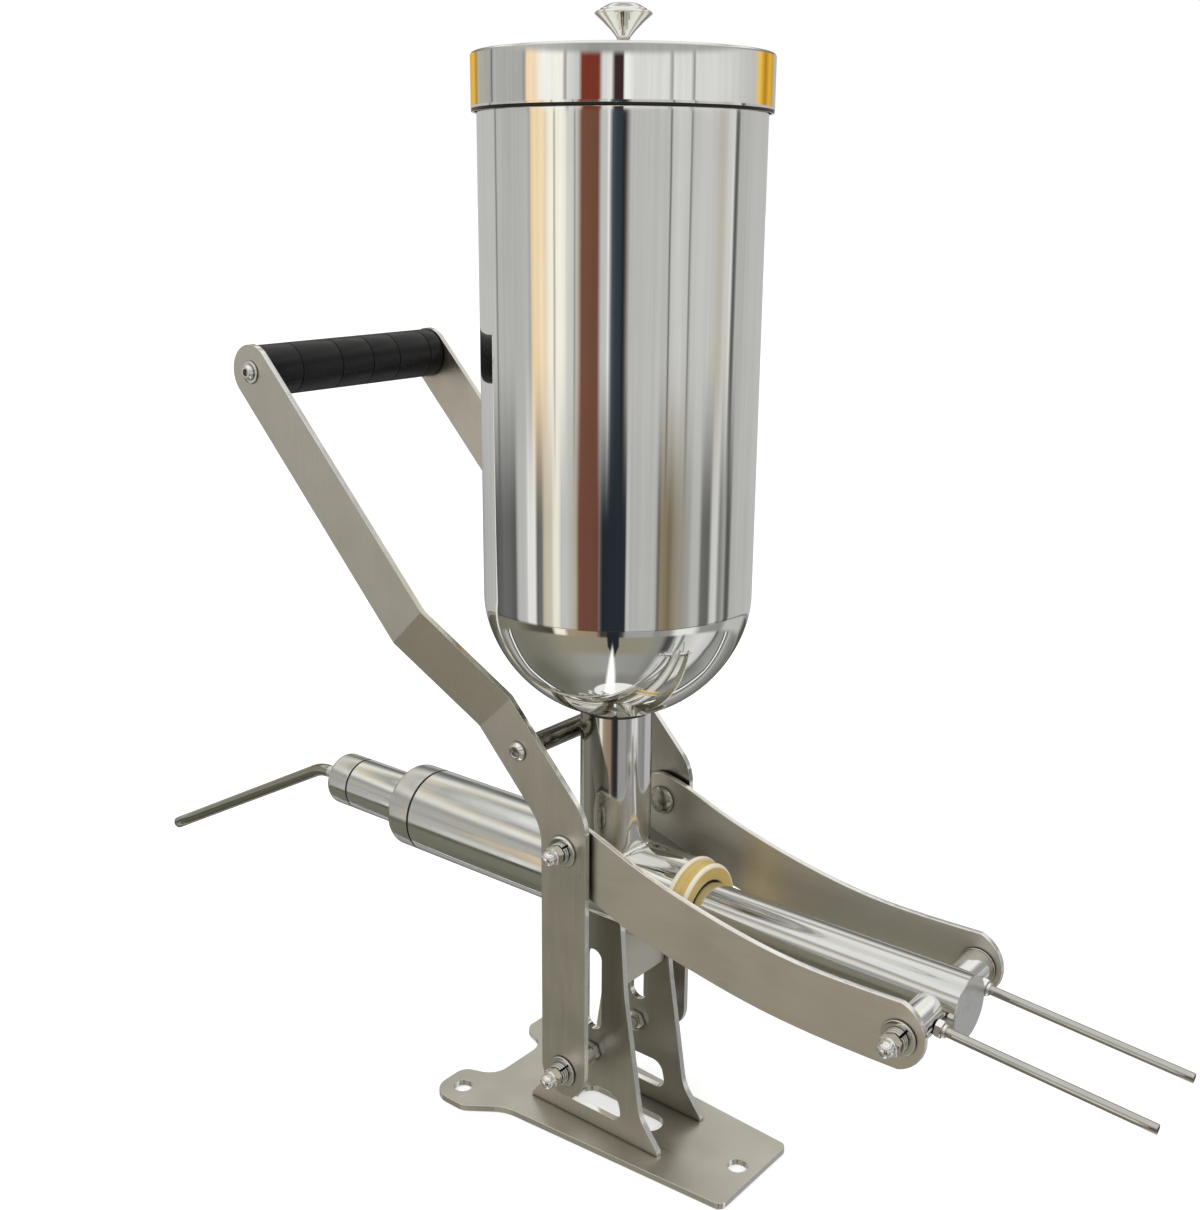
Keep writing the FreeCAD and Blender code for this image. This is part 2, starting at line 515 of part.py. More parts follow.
group("crosshead_inner_washers", [ring(10.2, "dims.stud_rad + 0.02", 1.1, cx, zp, cy, s) for s in (-1, 1)])
stack("crosshead", cx, zp, li + lt + 0.3)

# ---------------------------------------------------------------- lever arms
ang = math.radians(g("arm_angle"))
u = V(-math.cos(ang), 0, math.sin(ang))
n = V(-math.sin(ang), 0, -math.cos(ang))
knee = V(g("knee_x"), 0, g("knee_z"))
hw = g("arm_wide") / 2
s1, s2, sg = g("crease_low"), g("crease_high"), g("grip_along")
grip_at = knee + u * sg
bar_at = knee + u * g("bar_along")


def arm(side):
    a_lo, a_hi = g("arm_in_low"), g("arm_in_high")
    t = g("arm_thick")
    # slanted strip with its joggle, drawn in the (along, y) plane and extruded across the width
    d = math.hypot(s2 - s1, a_hi - a_lo)
    shift = t * math.tan(math.atan2(a_hi - a_lo, s2 - s1) / 2)
    pts = [(-6.0, a_lo, 0), (s1 + shift / 2, a_lo, 5), (s2 + shift / 2, a_hi, 8.5), (sg + hw, a_hi, 0),
           (sg + hw, a_hi + t, 0), (s2 - shift / 2, a_hi + t, 5), (s1 - shift / 2, a_lo + t, 8.5), (-6.0, a_lo + t, 0)]
    org = knee + n * (-hw)
    strip = Part.Face(rounded_wire(pts, lambda a, y: org + u * a + V(0, side * y, 0))).extrude(n * (2 * hw))
    # round top end
    keep_box = Part.makeBox(sg + 6.1, 300, 2 * hw, V(0, 0, 0))
    frame = FreeCAD.Placement(V(), FreeCAD.Rotation(u, V(0, 1, 0), n, "XYZ"))
    keep_box.translate(V(-6.1, -150, -hw))
    disc = Part.makeCylinder(hw, 300, V(sg, -150, 0), V(0, 1, 0))
    keep = keep_box.fuse(disc)
    keep.Placement = FreeCAD.Placement(knee, frame.Rotation)
    strip = strip.common(keep)
    # upright lower plate with a round bottom and the knee
    y0 = a_lo if side > 0 else -(a_lo + t)
    x0, x1 = px - hw, px + hw
    zk_r = None
    # where the slanted edges meet the upright edges
    def meet(edge, xx):
        p = knee + n * edge
        return p.z + (xx - p.x) / u.x * u.z
    z_left, z_right = meet(hw, x0), meet(-hw, x1)
    top_r = knee + n * (-hw) + u * 40
    top_l = knee + n * hw + u * 40
    pts = [(x0, zl - hw, hw - 0.01), (x1, zl - hw, hw - 0.01), (x1, z_right, 26), (top_r.x, top_r.z, 0),
           (top_l.x, top_l.z, 0), (x0, z_left, 26)]
    low = Part.Face(rounded_wire(pts, lambda x, z: V(x, y0, z))).extrude(V(0, t, 0))
    strip_keep = Part.makeBox(500, 300, 500, V(0, -150, -250))
    strip_keep.Placement = FreeCAD.Placement(knee + u * 39.0, frame.Rotation)
    body = low.fuse(strip.common(strip_keep)).removeSplitter()
    bores = []
    for p, rad in ((V(px, 0, zl), g("stud_rad") + 0.06), (V(px, 0, zm), g("stud_rad") + 0.02),
                   (bar_at, 2.52), (grip_at, 3.02)):
        bores.append(Part.makeCylinder(rad, 300, p + V(0, -150, 0), V(0, 1, 0)))
    for b in bores:
        body = body.cut(b)
    return solid(body, "arm")


node("lever_arm_near", arm(-1))
node("lever_arm_far", arm(1))

gi = g("arm_in_high")
grip = lathe([(6.0, -gi + 0.1, 0), (g("grip_rad"), -gi + 0.1, 1.2), (g("grip_rad"), gi - 0.1, 1.2), (6.0, gi - 0.1, 0)],
             (grip_at.x, 0, grip_at.z), "y", "grip")
rings = [cut(cyl(20, 0.9, (grip_at.x, y, grip_at.z), "y"), [cyl("dims.grip_rad - 0.45", 3, (grip_at.x, y - 1, grip_at.z), "y")])
         for y in (-48.0, -16.5, 9.0, 31.5, 59.0)]
node("grip", cut(grip, rings))
node("grip_tie_rod", cut(cyl(5.97, "2 * dims.arm_in_high - 0.04", (grip_at.x, -gi + 0.02, grip_at.z), "y"),
                         [cyl(3.02, 16, (grip_at.x, -gi, grip_at.z), "y"), cyl(3.02, 16, (grip_at.x, gi - 16, grip_at.z), "y")]))


def screw(at, y, side, head_r, head_t, shank_r, shank_l):
    ax = "y" if side > 0 else "-y"
    h = cyl(head_r, head_t, (at.x, side * y, at.z), ax)
    sh = cyl(shank_r, shank_l + 0.5, (at.x, side * (y - shank_l), at.z), ax)
    so = hexa(head_r * 0.5, head_t * 0.55, (at.x, side * (y + head_t * 0.5), at.z), ax)
    return cut(fuse([h, sh]), [so])


group("grip_screws", [screw(grip_at, gi + at_ + 1.2, s, 4.7, 3.0, 3.0, 16) for s in (-1, 1)])
group("grip_washers", [ring(6.7, 3.02, 1.2, grip_at.x, grip_at.z, gi + at_, s) for s in (-1, 1)])
node("crossbar", cut(cyl("dims.bar_rad", "2 * dims.arm_in_low - 0.04", (bar_at.x, -ai + 0.02, bar_at.z), "y"),
                     [cyl(2.52, 14, (bar_at.x, -ai, bar_at.z), "y"), cyl(2.52, 14, (bar_at.x, ai - 14, bar_at.z), "y")]))
group("crossbar_screws", [screw(bar_at, ai + at_, s, 5.6, 3.2, 2.5, 14) for s in (-1, 1)])

# ---------------------------------------------------------------- links


def link(side):
    y0 = li if side > 0 else -(li + lt)
    top = [(px, zm + 17.0), (24, 208.6), (40, 202.4), (72, 192.4), (112, 183.6), (150, 178.8), (180, 178.2), (cx, zp + 18.6)]
    bot = [(cx, zp - 18.2), (176, 142.0), (121, 145.4), (84, 151.3), (43, 160.2), (18, 169.4), (px - 6, 175.6)]
    P3 = lambda q: V(q[0], y0, q[1])
    t = Part.BSplineCurve(); t.interpolate([P3(q) for q in top])
    b = Part.BSplineCurve(); b.interpolate([P3(q) for q in bot])
    front = Part.Arc(P3(top[-1]), P3((cx + 13.4, zp + 0.6)), P3(bot[0]))
    back = Part.Arc(P3(bot[-1]), P3((px - 19.2, zm - 2.0)), P3(top[0]))
    wire = Part.Wire([t.toShape(), front.toShape(), b.toShape(), back.toShape()])
    body = Part.Face(wire).extrude(V(0, lt, 0))
    body = body.cut(Part.makeCylinder(g("stud_rad") + 0.06, 300, V(px, -150, zm), V(0, 1, 0)))
    eye = V(cx + g("link_hole_dx"), -150, zp + g("link_hole_dz"))
    body = body.cut(Part.makeCylinder(g("stud_rad") + g("link_hole_play"), 300, eye, V(0, 1, 0)))
    return solid(body, "link")


node("link_near", link(-1))
node("link_far", link(1))

# ---------------------------------------------------------------- place, recompute, test and export
# Everything above is drawn from the hopper's axis.  The part's own origin is the front fixing hole,
# so each sub-part is placed that much further back.
doc.recompute()
home = V(-g("front_hole_x"), 0, 0)
for o in nodes.values():
    o.Placement = FreeCAD.Placement(home, FreeCAD.Rotation()).multiply(o.Placement)
doc.recompute()
bad = []
for o in doc.Objects:
    if "Invalid" in o.State or "Error" in o.State:
        bad.append("%s (%s): %s" % (o.Name, o.Label, o.State))
for name, o in sorted(nodes.items()):
    s = o.Shape
    if s.isNull() or not s.isValid() or not s.Solids:
        bad.append("%s: bad shape" % name)
        continue
    if min(k.Volume for k in s.Solids) <= 0:
        bad.append("%s: negative volume" % name)
    bb = s.BoundBox
    print("%-26s solids %d vol %9.1f  x %7.1f..%7.1f y %6.1f..%6.1f z %6.1f..%6.1f"
          % (name, len(s.Solids), s.Volume, bb.XMin, bb.XMax, bb.YMin, bb.YMax, bb.ZMin, bb.ZMax))
if bad:
    raise RuntimeError("; ".join(bad))
os.makedirs("parts", exist_ok=True)
for name, o in nodes.items():
    o.Shape.exportStep("parts/%s.step" % name)
print(len(nodes), "nodes")
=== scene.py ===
import bpy
import bmesh
import json
import math
from mathutils import Vector, Matrix, Euler


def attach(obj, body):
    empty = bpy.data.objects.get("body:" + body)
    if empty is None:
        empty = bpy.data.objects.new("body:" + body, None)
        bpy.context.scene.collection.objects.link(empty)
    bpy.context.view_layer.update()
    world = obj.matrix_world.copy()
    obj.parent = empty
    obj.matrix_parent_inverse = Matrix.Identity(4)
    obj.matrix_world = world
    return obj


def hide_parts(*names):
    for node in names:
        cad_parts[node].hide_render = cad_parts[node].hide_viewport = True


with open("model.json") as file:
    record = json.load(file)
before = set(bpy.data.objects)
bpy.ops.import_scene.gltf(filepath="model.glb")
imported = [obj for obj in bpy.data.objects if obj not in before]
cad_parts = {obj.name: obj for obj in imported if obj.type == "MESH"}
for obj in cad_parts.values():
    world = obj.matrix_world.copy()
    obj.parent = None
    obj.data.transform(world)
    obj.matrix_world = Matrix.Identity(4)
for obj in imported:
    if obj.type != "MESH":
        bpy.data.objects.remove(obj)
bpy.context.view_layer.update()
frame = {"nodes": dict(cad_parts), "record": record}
N = frame["nodes"]
HX = -93.5          # the hopper's axis in the row frame, mm; everything below is drawn from that axis
MM = 0.001
ZP = 160.5          # height of the pump's axis


def W(x, y, z):
    """A point given from the hopper's axis in millimetres, as metres in the row frame."""
    return Vector(((x + HX) * MM, y * MM, z * MM))


# =============================================================== materials
def new_mat(name):
    m = bpy.data.materials.new(name)
    m.use_nodes = True
    nt = m.node_tree
    b = nt.nodes["Principled BSDF"]
    return m, nt, b


def node(nt, kind, **kw):
    n = nt.nodes.new(kind)
    for k, v in kw.items():
        setattr(n, k, v)
    return n


def link(nt, a, b):
    nt.links.new(a, b)


def math_node(nt, op, a, b=None, clamp=False):
    n = node(nt, "ShaderNodeMath", operation=op, use_clamp=clamp)
    for i, v in enumerate((a, b)):
        if v is None:
            continue
        if isinstance(v, (int, float)):
            n.inputs[i].default_value = v
        else:
            link(nt, v, n.inputs[i])
    return n.outputs[0]


def map_range(nt, src, a, b, c, d, smooth=False):
    n = node(nt, "ShaderNodeMapRange", clamp=True)
    if smooth:
        n.interpolation_type = "SMOOTHSTEP"
    link(nt, src, n.inputs["Value"])
    for k, v in (("From Min", a), ("From Max", b), ("To Min", c), ("To Max", d)):
        n.inputs[k].default_value = v
    return n.outputs[0]


def coords(nt, rot=(0, 0, 0), scale=(1, 1, 1), loc=(0, 0, 0)):
    tc = node(nt, "ShaderNodeTexCoord")
    mp = node(nt, "ShaderNodeMapping")
    mp.inputs["Rotation"].default_value = rot
    mp.inputs["Scale"].default_value = scale
    mp.inputs["Location"].default_value = loc
    link(nt, tc.outputs["Object"], mp.inputs["Vector"])
    return mp.outputs["Vector"]


def noise(nt, vec, scale, detail=2.0, rough=0.5, dist=0.0):
    n = node(nt, "ShaderNodeTexNoise")
    n.inputs["Scale"].default_value = scale
    n.inputs["Detail"].default_value = detail
    n.inputs["Roughness"].default_value = rough
    n.inputs["Distortion"].default_value = dist
    link(nt, vec, n.inputs["Vector"])
    return n.outputs["Fac"]


def mix_col(nt, fac, a, b):
    n = node(nt, "ShaderNodeMix", data_type="RGBA")
    if isinstance(fac, (int, float)):
        n.inputs[0].default_value = fac
    else:
        link(nt, fac, n.inputs[0])
    for i, v in ((6, a), (7, b)):
        if isinstance(v, (tuple, list)):
            n.inputs[i].default_value = (*v[:3], 1)
        else:
            link(nt, v, n.inputs[i])
    return n.outputs[2]


def shade(c, k):
    return tuple(min(1.0, v * k) for v in c)


def metal(name, color, rough, grain=(1, 1, 1), rot=(0, 0, 0), grain_scale=1.0, bump=0.15, vary=0.06, tone=0.05,
          smudge=0.10, aniso=0.0, aniso_axis=None, aniso_turn=0.0, scratches=0.0, mottle=0.0, crevice=0.0, reach=0.003, wave=0.0, enclose=0.0):
    """Steel: brush grain in the roughness, the colour and the bump, broad smudges, and a few long scratches."""
    m, nt, b = new_mat(name)
    b.inputs["Metallic"].default_value = 1.0
    g = noise(nt, coords(nt, rot, grain), grain_scale, 3.0, 0.6)
    fine = noise(nt, coords(nt, rot, tuple(v * 3.1 for v in grain), (3.1, 1.7, 0.4)), grain_scale, 2.0, 0.6)
    big = noise(nt, coords(nt, (0.3, 0.2, 0.1), (1, 1, 1), (0.31, 0.12, 0.77)), 26.0, 3.0, 0.55)
    lines = math_node(nt, "ADD", math_node(nt, "MULTIPLY", g, 0.6), math_node(nt, "MULTIPLY", fine, 0.4))
    r1 = map_range(nt, lines, 0.3, 0.7, -vary, vary)
    r2 = map_range(nt, big, 0.3, 0.7, -smudge * 0.5, smudge * 0.5, True)
    r = math_node(nt, "ADD", math_node(nt, "ADD", r1, r2), rough, clamp=False)
    if scratches:
        sc = noise(nt, coords(nt, (rot[0], rot[1] + 0.5, rot[2] + 0.35), (40, 1400, 1400), (0.7, 0.2, 0.9)), 1.0, 0.0)
        line = map_range(nt, sc, 0.80, 0.86, 0.0, 1.0)
        r = math_node(nt, "ADD", r, math_node(nt, "MULTIPLY", line, scratches))
    r = math_node(nt, "MAXIMUM", r, 0.015)
    link(nt, r, b.inputs["Roughness"])
    tint = map_range(nt, lines, 0.3, 0.7, 0.0, 1.0)
    col = mix_col(nt, tint, shade(color, 1 - tone), shade(color, 1 + tone))
    blot = map_range(nt, big, 0.35, 0.75, 0.0, 0.10 + mottle, True)
    col = mix_col(nt, blot, col, shade(color, 0.72))
    # painted shade: ambient occlusion within reach darkens the colour towards near-black in crevices, corners and
    # joints between parts
    if crevice:
        ao = node(nt, "ShaderNodeAmbientOcclusion", samples=6)
        ao.inputs["Distance"].default_value = reach
        crevice_shade = map_range(nt, ao.outputs["AO"], 0.25, 0.85, crevice, 0.0, True)
        col = mix_col(nt, crevice_shade, col, (0.03, 0.028, 0.022))
    # painted shade: wide ambient occlusion over 85 mm darkens faces closed in between other parts, down to 16 % of the
    # colour
    if enclose:
        wide = node(nt, "ShaderNodeAmbientOcclusion", samples=8)
        wide.inputs["Distance"].default_value = 0.085
        enclosure_shade = map_range(nt, wide.outputs["AO"], 0.20, 0.78, enclose, 0.0)
        col = mix_col(nt, enclosure_shade, col, shade(color, 0.16))
    link(nt, col, b.inputs["Base Color"])
    if bump:
        bp = node(nt, "ShaderNodeBump")
        bp.inputs["Strength"].default_value = bump
        bp.inputs["Distance"].default_value = 0.00002
        link(nt, lines, bp.inputs["Height"])
        if wave:
            wv = node(nt, "ShaderNodeBump")
            wv.inputs["Strength"].default_value = 1.0
            wv.inputs["Distance"].default_value = wave
            link(nt, noise(nt, coords(nt, (0, 0, 0), (1, 1, 0.45), (0.2, 0.6, 0.3)), 22.0, 1.0, 0.4), wv.inputs["Height"])
            link(nt, wv.outputs["Normal"], bp.inputs["Normal"])
        link(nt, bp.outputs["Normal"], b.inputs["Normal"])
    if aniso and aniso_axis:
        b.inputs["Anisotropic"].default_value = aniso
        b.inputs["Anisotropic Rotation"].default_value = aniso_turn
        tg = node(nt, "ShaderNodeTangent", direction_type="RADIAL", axis=aniso_axis)
        link(nt, tg.outputs[0], b.inputs["Tangent"])
    return m


SATIN = (0.66, 0.63, 0.56)
LONG_X = (25, 900, 900)      # grain that runs along X
LONG_Z = (900, 900, 25)
RING_X = (1500, 30, 30)      # turning marks round an X axis
RING_Y = (30, 1500, 30)
RING_Z = (30, 30, 1500)
ARM_ROT = (0, math.radians(-43.5), 0)

M = {}
# The four satin plate materials are one steel, with base colours set brighter or darker per plate as painted light and
# shade; their crevice and enclose values add painted shade in joints and between plates.
M["satin_link"] = metal("satin_plate_link", (0.805, 0.769, 0.683), 0.42, LONG_X, bump=0.20, vary=0.06, scratches=0.08, crevice=0.85, enclose=0.34)
M["satin_x"] = metal("satin_plate_x", SATIN, 0.36, LONG_X, bump=0.22, vary=0.07, scratches=0.10, crevice=0.85, enclose=0.72)
M["satin_z"] = metal("satin_plate_z", (0.752, 0.718, 0.638), 0.36, LONG_Z, bump=0.22, vary=0.07, scratches=0.10, crevice=0.85, enclose=0.52)
M["satin_arm"] = metal("satin_plate_arm", (0.713, 0.680, 0.605), 0.36, LONG_Z, ARM_ROT, bump=0.22, vary=0.07, scratches=0.10, crevice=0.85, enclose=0.60)
# rims of the plates and the neck weld: polished steel with lower roughness, plus a base colour set well above the
# plates' as a painted highlight
M["edge"] = metal("polished_edge_and_highlight", (0.93, 0.925, 0.89), 0.16, (200, 200, 200), bump=0.10, vary=0.05, smudge=0.12)
M["turned_x"] = metal("turned_steel_x", (0.77, 0.77, 0.73), 0.125, LONG_X, bump=0.12, vary=0.045, aniso=0.45, aniso_axis="X", aniso_turn=0.25, scratches=0.05)
M["front_x"] = metal("polished_front_x", (0.80, 0.80, 0.77), 0.045, LONG_X, bump=0.05, vary=0.03, scratches=0.04)
M["lathe_x"] = metal("turned_steel_ring", (0.72, 0.72, 0.675), 0.18, RING_X, bump=0.20, vary=0.06, aniso=0.45, aniso_axis="X", aniso_turn=0.25, scratches=0.04)
M["neck"] = metal("polished_neck", (0.80, 0.79, 0.77), 0.085, LONG_Z, bump=0.08, vary=0.03, smudge=0.05, scratches=0.06)
M["rod"] = metal("ground_rod", (0.73, 0.73, 0.70), 0.10, LONG_X, bump=0.16, vary=0.05, smudge=0.06, aniso=0.4, aniso_axis="X", aniso_turn=0.25, scratches=0.05)
M["end_face"] = metal("turned_end_face", (0.80, 0.80, 0.78), 0.34, (700, 700, 700), bump=0.25, vary=0.08)
M["mirror"] = metal("mirror_steel", (0.885, 0.88, 0.84), 0.028, (120, 120, 6), bump=0.012, vary=0.012, tone=0.01, smudge=0.02, scratches=0.03, wave=0.00010)
M["inside"] = metal("brushed_inside", (0.72, 0.72, 0.68), 0.44, LONG_Z, bump=0.15, vary=0.05)
for n in M["inside"].node_tree.nodes:
    if n.type == "BSDF_PRINCIPLED":
        n.inputs["Metallic"].default_value = 0.45
M["tube"] = metal("drawn_tube", (0.58, 0.57, 0.53), 0.035, (60, 60, 60), bump=0.08, vary=0.04)
M["bent"] = metal("dull_bent_tube", (0.42, 0.41, 0.33), 0.13, (60, 60, 60), bump=0.12, vary=0.05, smudge=0.12)
# crevice paints dark shade round the joints of nuts, washers and heads
M["fastener"] = metal("bright_fastener", (0.88, 0.875, 0.845), 0.03, (500, 500, 500), bump=0.08, vary=0.03, smudge=0.05, crevice=0.94, reach=0.0036)
M["spring"] = metal("spring_steel", (0.72, 0.71, 0.67), 0.16, (500, 500, 500), bump=0.15, vary=0.06, crevice=0.95, reach=0.0018)
M["dark_dome"] = metal("dark_domed_head", (0.40, 0.385, 0.34), 0.22, (400, 400, 400), bump=0.15, vary=0.06, crevice=0.8, reach=0.002)
M["dark_bar"] = metal("dark_bar", (0.25, 0.24, 0.20), 0.10, RING_Y, bump=0.18, vary=0.06, scratches=0.08)
# painted shadow: near-black steel laid on gap lips and groove chamfers where shade falls
M["shadow_edge"] = metal("painted_gap_shadow", (0.05, 0.048, 0.042), 0.35, (300, 300, 300), bump=0.10, vary=0.05)


def plastic(name, color, rough, speck=0.10, bump=0.15, scale=900.0, spec=0.5, coat=0.0, rings=None):
    m, nt, b = new_mat(name)
    v = coords(nt)
    n1 = noise(nt, v, scale, 3.0, 0.6)
    n2 = noise(nt, coords(nt, loc=(0.4, 0.9, 0.1)), 45.0, 3.0, 0.55)
    r = math_node(nt, "ADD", map_range(nt, n1, 0.3, 0.7, -0.05, 0.05), map_range(nt, n2, 0.3, 0.7, rough - 0.05, rough + 0.05))
    link(nt, r, b.inputs["Roughness"])
    col = mix_col(nt, map_range(nt, n2, 0.3, 0.7, 0, 1), shade(color, 1 - speck), shade(color, 1 + speck))
    link(nt, col, b.inputs["Base Color"])
    h = n1
    if rings:
        g = noise(nt, coords(nt, scale=rings), 1.0, 1.0)
        h = math_node(nt, "ADD", math_node(nt, "MULTIPLY", n1, 0.3), math_node(nt, "MULTIPLY", g, 0.9))
    bp = node(nt, "ShaderNodeBump")
    bp.inputs["Strength"].default_value = bump
    bp.inputs["Distance"].default_value = 0.00005
    link(nt, h, bp.inputs["Height"])
    link(nt, bp.outputs["Normal"], b.inputs["Normal"])
    b.inputs["Specular IOR Level"].default_value = spec
    if coat:
        b.inputs["Coat Weight"].default_value = coat
        b.inputs["Coat Roughness"].default_value = 0.25
    return m


M["amber"] = plastic("amber_polymer", (0.60, 0.44, 0.15), 0.34, 0.08, 0.25, 600.0, 0.5, 0.0, RING_X)
M["cream"] = plastic("cream_polymer_and_rim_highlight", (0.80, 0.74, 0.58), 0.35, 0.03, 0.20, 500.0, 0.5, 0.0, RING_X)
M["seal"] = plastic("black_seal", (0.018, 0.018, 0.018), 0.50, 0.15, 0.25)
M["grip"] = plastic("black_grip", (0.006, 0.006, 0.007), 0.30, 0.15, 0.18, 700.0, 0.30, 0.0, RING_Y)

SLOT_OF = {s["node"]: s["material_slot"] for s in frame["record"]["subparts"]}
BODY_OF = {}
for body_name, members in frame["record"]["behaviour"]["bodies"].items():
    for n_ in members:
        BODY_OF[n_] = body_name

# every carried-over node has a procedural material, also the hidden ones
BY_SLOT = {"satin_steel": "satin_x", "turned_steel": "turned_x", "tube_steel": "tube", "mirror_steel": "mirror",
           "dark_bar": "dark_bar", "fastener_steel": "fastener", "amber_polymer": "amber", "white_polymer": "cream",
           "black_seal": "seal", "black_grip": "grip"}
for name_, o_ in N.items():
    o_.data.materials.clear()
    o_.data.materials.append(M[BY_SLOT[SLOT_OF[name_]]])


# =============================================================== mesh helpers
def finish_mesh(me, sharp=35.0):
    for p in me.polygons:
        p.use_smooth = True
    me.set_sharp_from_angle(angle=math.radians(sharp))
    me.update()


def add_object(name, me, rides_like, mats, replaces=(), sharp=35.0, clean=True):
    """rides_like is the CAD node whose body it moves with."""
    if clean:
        bm = bmesh.new()
        bm.from_mesh(me)
        bmesh.ops.recalc_face_normals(bm, faces=bm.faces)
        bm.to_mesh(me)
        bm.free()
    o = bpy.data.objects.new(name, me)
    bpy.context.scene.collection.objects.link(o)
    for m in (mats if isinstance(mats, (list, tuple)) else [mats]):
        me.materials.append(m)
    finish_mesh(me, sharp)
    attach(o, BODY_OF[rides_like])
    if replaces:
        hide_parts(*replaces)
    return o


def round_profile(pts, closed=True, steps=5):
    """Round the corners of (a, b, radius) points."""
    out = []
    n = len(pts)
    for i in range(n):
        a, b, r = pts[i]
        if r <= 0 or (not closed and i in (0, n - 1)):
            out.append((a, b))
            continue
        p0, p1 = pts[i - 1], pts[(i + 1) % n]
        u = Vector((p0[0] - a, p0[1] - b))
        v = Vector((p1[0] - a, p1[1] - b))
        lu, lv = u.length, v.length
        u.normalize()
        v.normalize()
        ang = math.acos(max(-1, min(1, u.dot(v))))
        if abs(ang - math.pi) < 1e-3:
            out.append((a, b))
            continue
        t = min(r / math.tan(ang / 2), lu * 0.49, lv * 0.49)
        rr = t * math.tan(ang / 2)
        c = Vector((a, b)) + (u + v).normalized() * (rr / math.sin(ang / 2))
        s = Vector((a, b)) + u * t - c
        e = Vector((a, b)) + v * t - c
        sweep = math.pi - ang
        cross = s.x * e.y - s.y * e.x
        sg = 1 if cross > 0 else -1
        for k in range(steps + 1):
            th = sg * sweep * k / steps
            out.append((c.x + s.x * math.cos(th) - s.y * math.sin(th), c.y + s.x * math.sin(th) + s.y * math.cos(th)))
    return out


AXES = {"z": (Vector((1, 0, 0)), Vector((0, 1, 0)), Vector((0, 0, 1))),
        "x": (Vector((0, 1, 0)), Vector((0, 0, 1)), Vector((1, 0, 0))),
        "-x": (Vector((0, 0, 1)), Vector((0, 1, 0)), Vector((-1, 0, 0))),
        "y": (Vector((0, 0, 1)), Vector((1, 0, 0)), Vector((0, 1, 0))),
        "-y": (Vector((1, 0, 0)), Vector((0, 0, 1)), Vector((0, -1, 0)))}


def basis(axis):
    if isinstance(axis, str):
        return AXES[axis]
    w = Vector(axis).normalized()
    u = w.cross(Vector((0, 1, 0)))
    if u.length < 0.1:
        u = w.cross(Vector((1, 0, 0)))
    u.normalize()
    return u, w.cross(u), w


def lathe_mesh(name, prof, at, axis, seg=96, closed=True, steps=5, bands=None, phase=0.0):
    """Turn (radius, height, corner radius) points round an axis. bands: a function of (radius, height) that gives each
    ring of faces its material index.
    """
    pts = round_profile([p if len(p) == 3 else (*p, 0) for p in prof], closed, steps)
    u, v, w = basis(axis)
    o = Vector(at)
    verts, rings = [], []
    for r, h in pts:
        if r < 1e-6:
            rings.append([len(verts)])
            verts.append(o + w * h)
        else:
            ids = []
            for k in range(seg):
                th = 2 * math.pi * k / seg + phase
                ids.append(len(verts))
                verts.append(o + w * h + u * (r * math.cos(th)) + v * (r * math.sin(th)))
            rings.append(ids)
    faces, tags = [], []
    n = len(rings)
    for i in range(n if closed else n - 1):
        a, b = rings[i], rings[(i + 1) % n]
        if len(a) == 1 and len(b) == 1:
            continue
        for k in range(seg):
            k2 = (k + 1) % seg
            if len(a) == 1:
                faces.append((a[0], b[k], b[k2]))
            elif len(b) == 1:
                faces.append((a[k], b[0], a[k2]))
            else:
                faces.append((a[k], b[k], b[k2], a[k2]))
            tags.append(i)
    me = bpy.data.meshes.new(name)
    me.from_pydata([((p.x + HX) * MM, p.y * MM, p.z * MM) for p in verts], [], faces)
    if bands:
        for p, i in zip(me.polygons, tags):
            h = (pts[i][1] + pts[(i + 1) % n][1]) / 2
            rr = (pts[i][0] + pts[(i + 1) % n][0]) / 2
            p.material_index = bands(rr, h)
    me.update()
    return me


def join_meshes(name, meshes):
    bm = bmesh.new()
    for me in meshes:
        bm.from_mesh(me)
        bpy.data.meshes.remove(me)
    out = bpy.data.meshes.new(name)
    bm.to_mesh(out)
    bm.free()
    return out


def hex_mesh(name, rad, thick, bore, at, axis, chamfer=(True, True), rot=0.0, seg=72):
    """Hexagon nut with its corners turned to a 30 degree cone and a countersunk bore. rad is over the corners."""
    u, v, w = basis(axis)
    o = Vector(at)
    ap = rad * math.cos(math.pi / 6)
    rc = ap * 0.985
    verts, rows = [], []

    def ring(fn):
        ids = []
        for k in range(seg):
            th = 2 * math.pi * k / seg
            r, h = fn(th)
            a = th + rot
            ids.append(len(verts))
            verts.append(o + w * h + u * (r * math.cos(a)) + v * (r * math.sin(a)))
        return ids

    def hexr(th):
        a = (th + math.pi / 6) % (math.pi / 3) - math.pi / 6
        return ap / math.cos(a)

    def drop(th):
        return (hexr(th) - rc) * math.tan(math.radians(32)) + 0.10

    rows.append(ring(lambda th: (bore, thick - 0.35)))
    rows.append(ring(lambda th: (bore + 0.45, thick)))
    rows.append(ring(lambda th: (rc * 0.97, thick)))
    if chamfer[1]:
        rows.append(ring(lambda th: (hexr(th), thick - drop(th))))
    else:
        rows.append(ring(lambda th: (hexr(th), thick)))
    if chamfer[0]:
        rows.append(ring(lambda th: (hexr(th), drop(th))))
    else:
        rows.append(ring(lambda th: (hexr(th), 0.0)))
    rows.append(ring(lambda th: (rc * 0.97, 0.0)))
    rows.append(ring(lambda th: (bore + 0.45, 0.0)))
    rows.append(ring(lambda th: (bore, 0.35)))
    faces = []
    for i in range(len(rows)):
        a, b = rows[i], rows[(i + 1) % len(rows)]
        for k in range(seg):
            k2 = (k + 1) % seg
            faces.append((a[k], b[k], b[k2], a[k2]))
    me = bpy.data.meshes.new(name)
    me.from_pydata([((p.x + HX) * MM, p.y * MM, p.z * MM) for p in verts], [], faces)
    me.update()
    return me


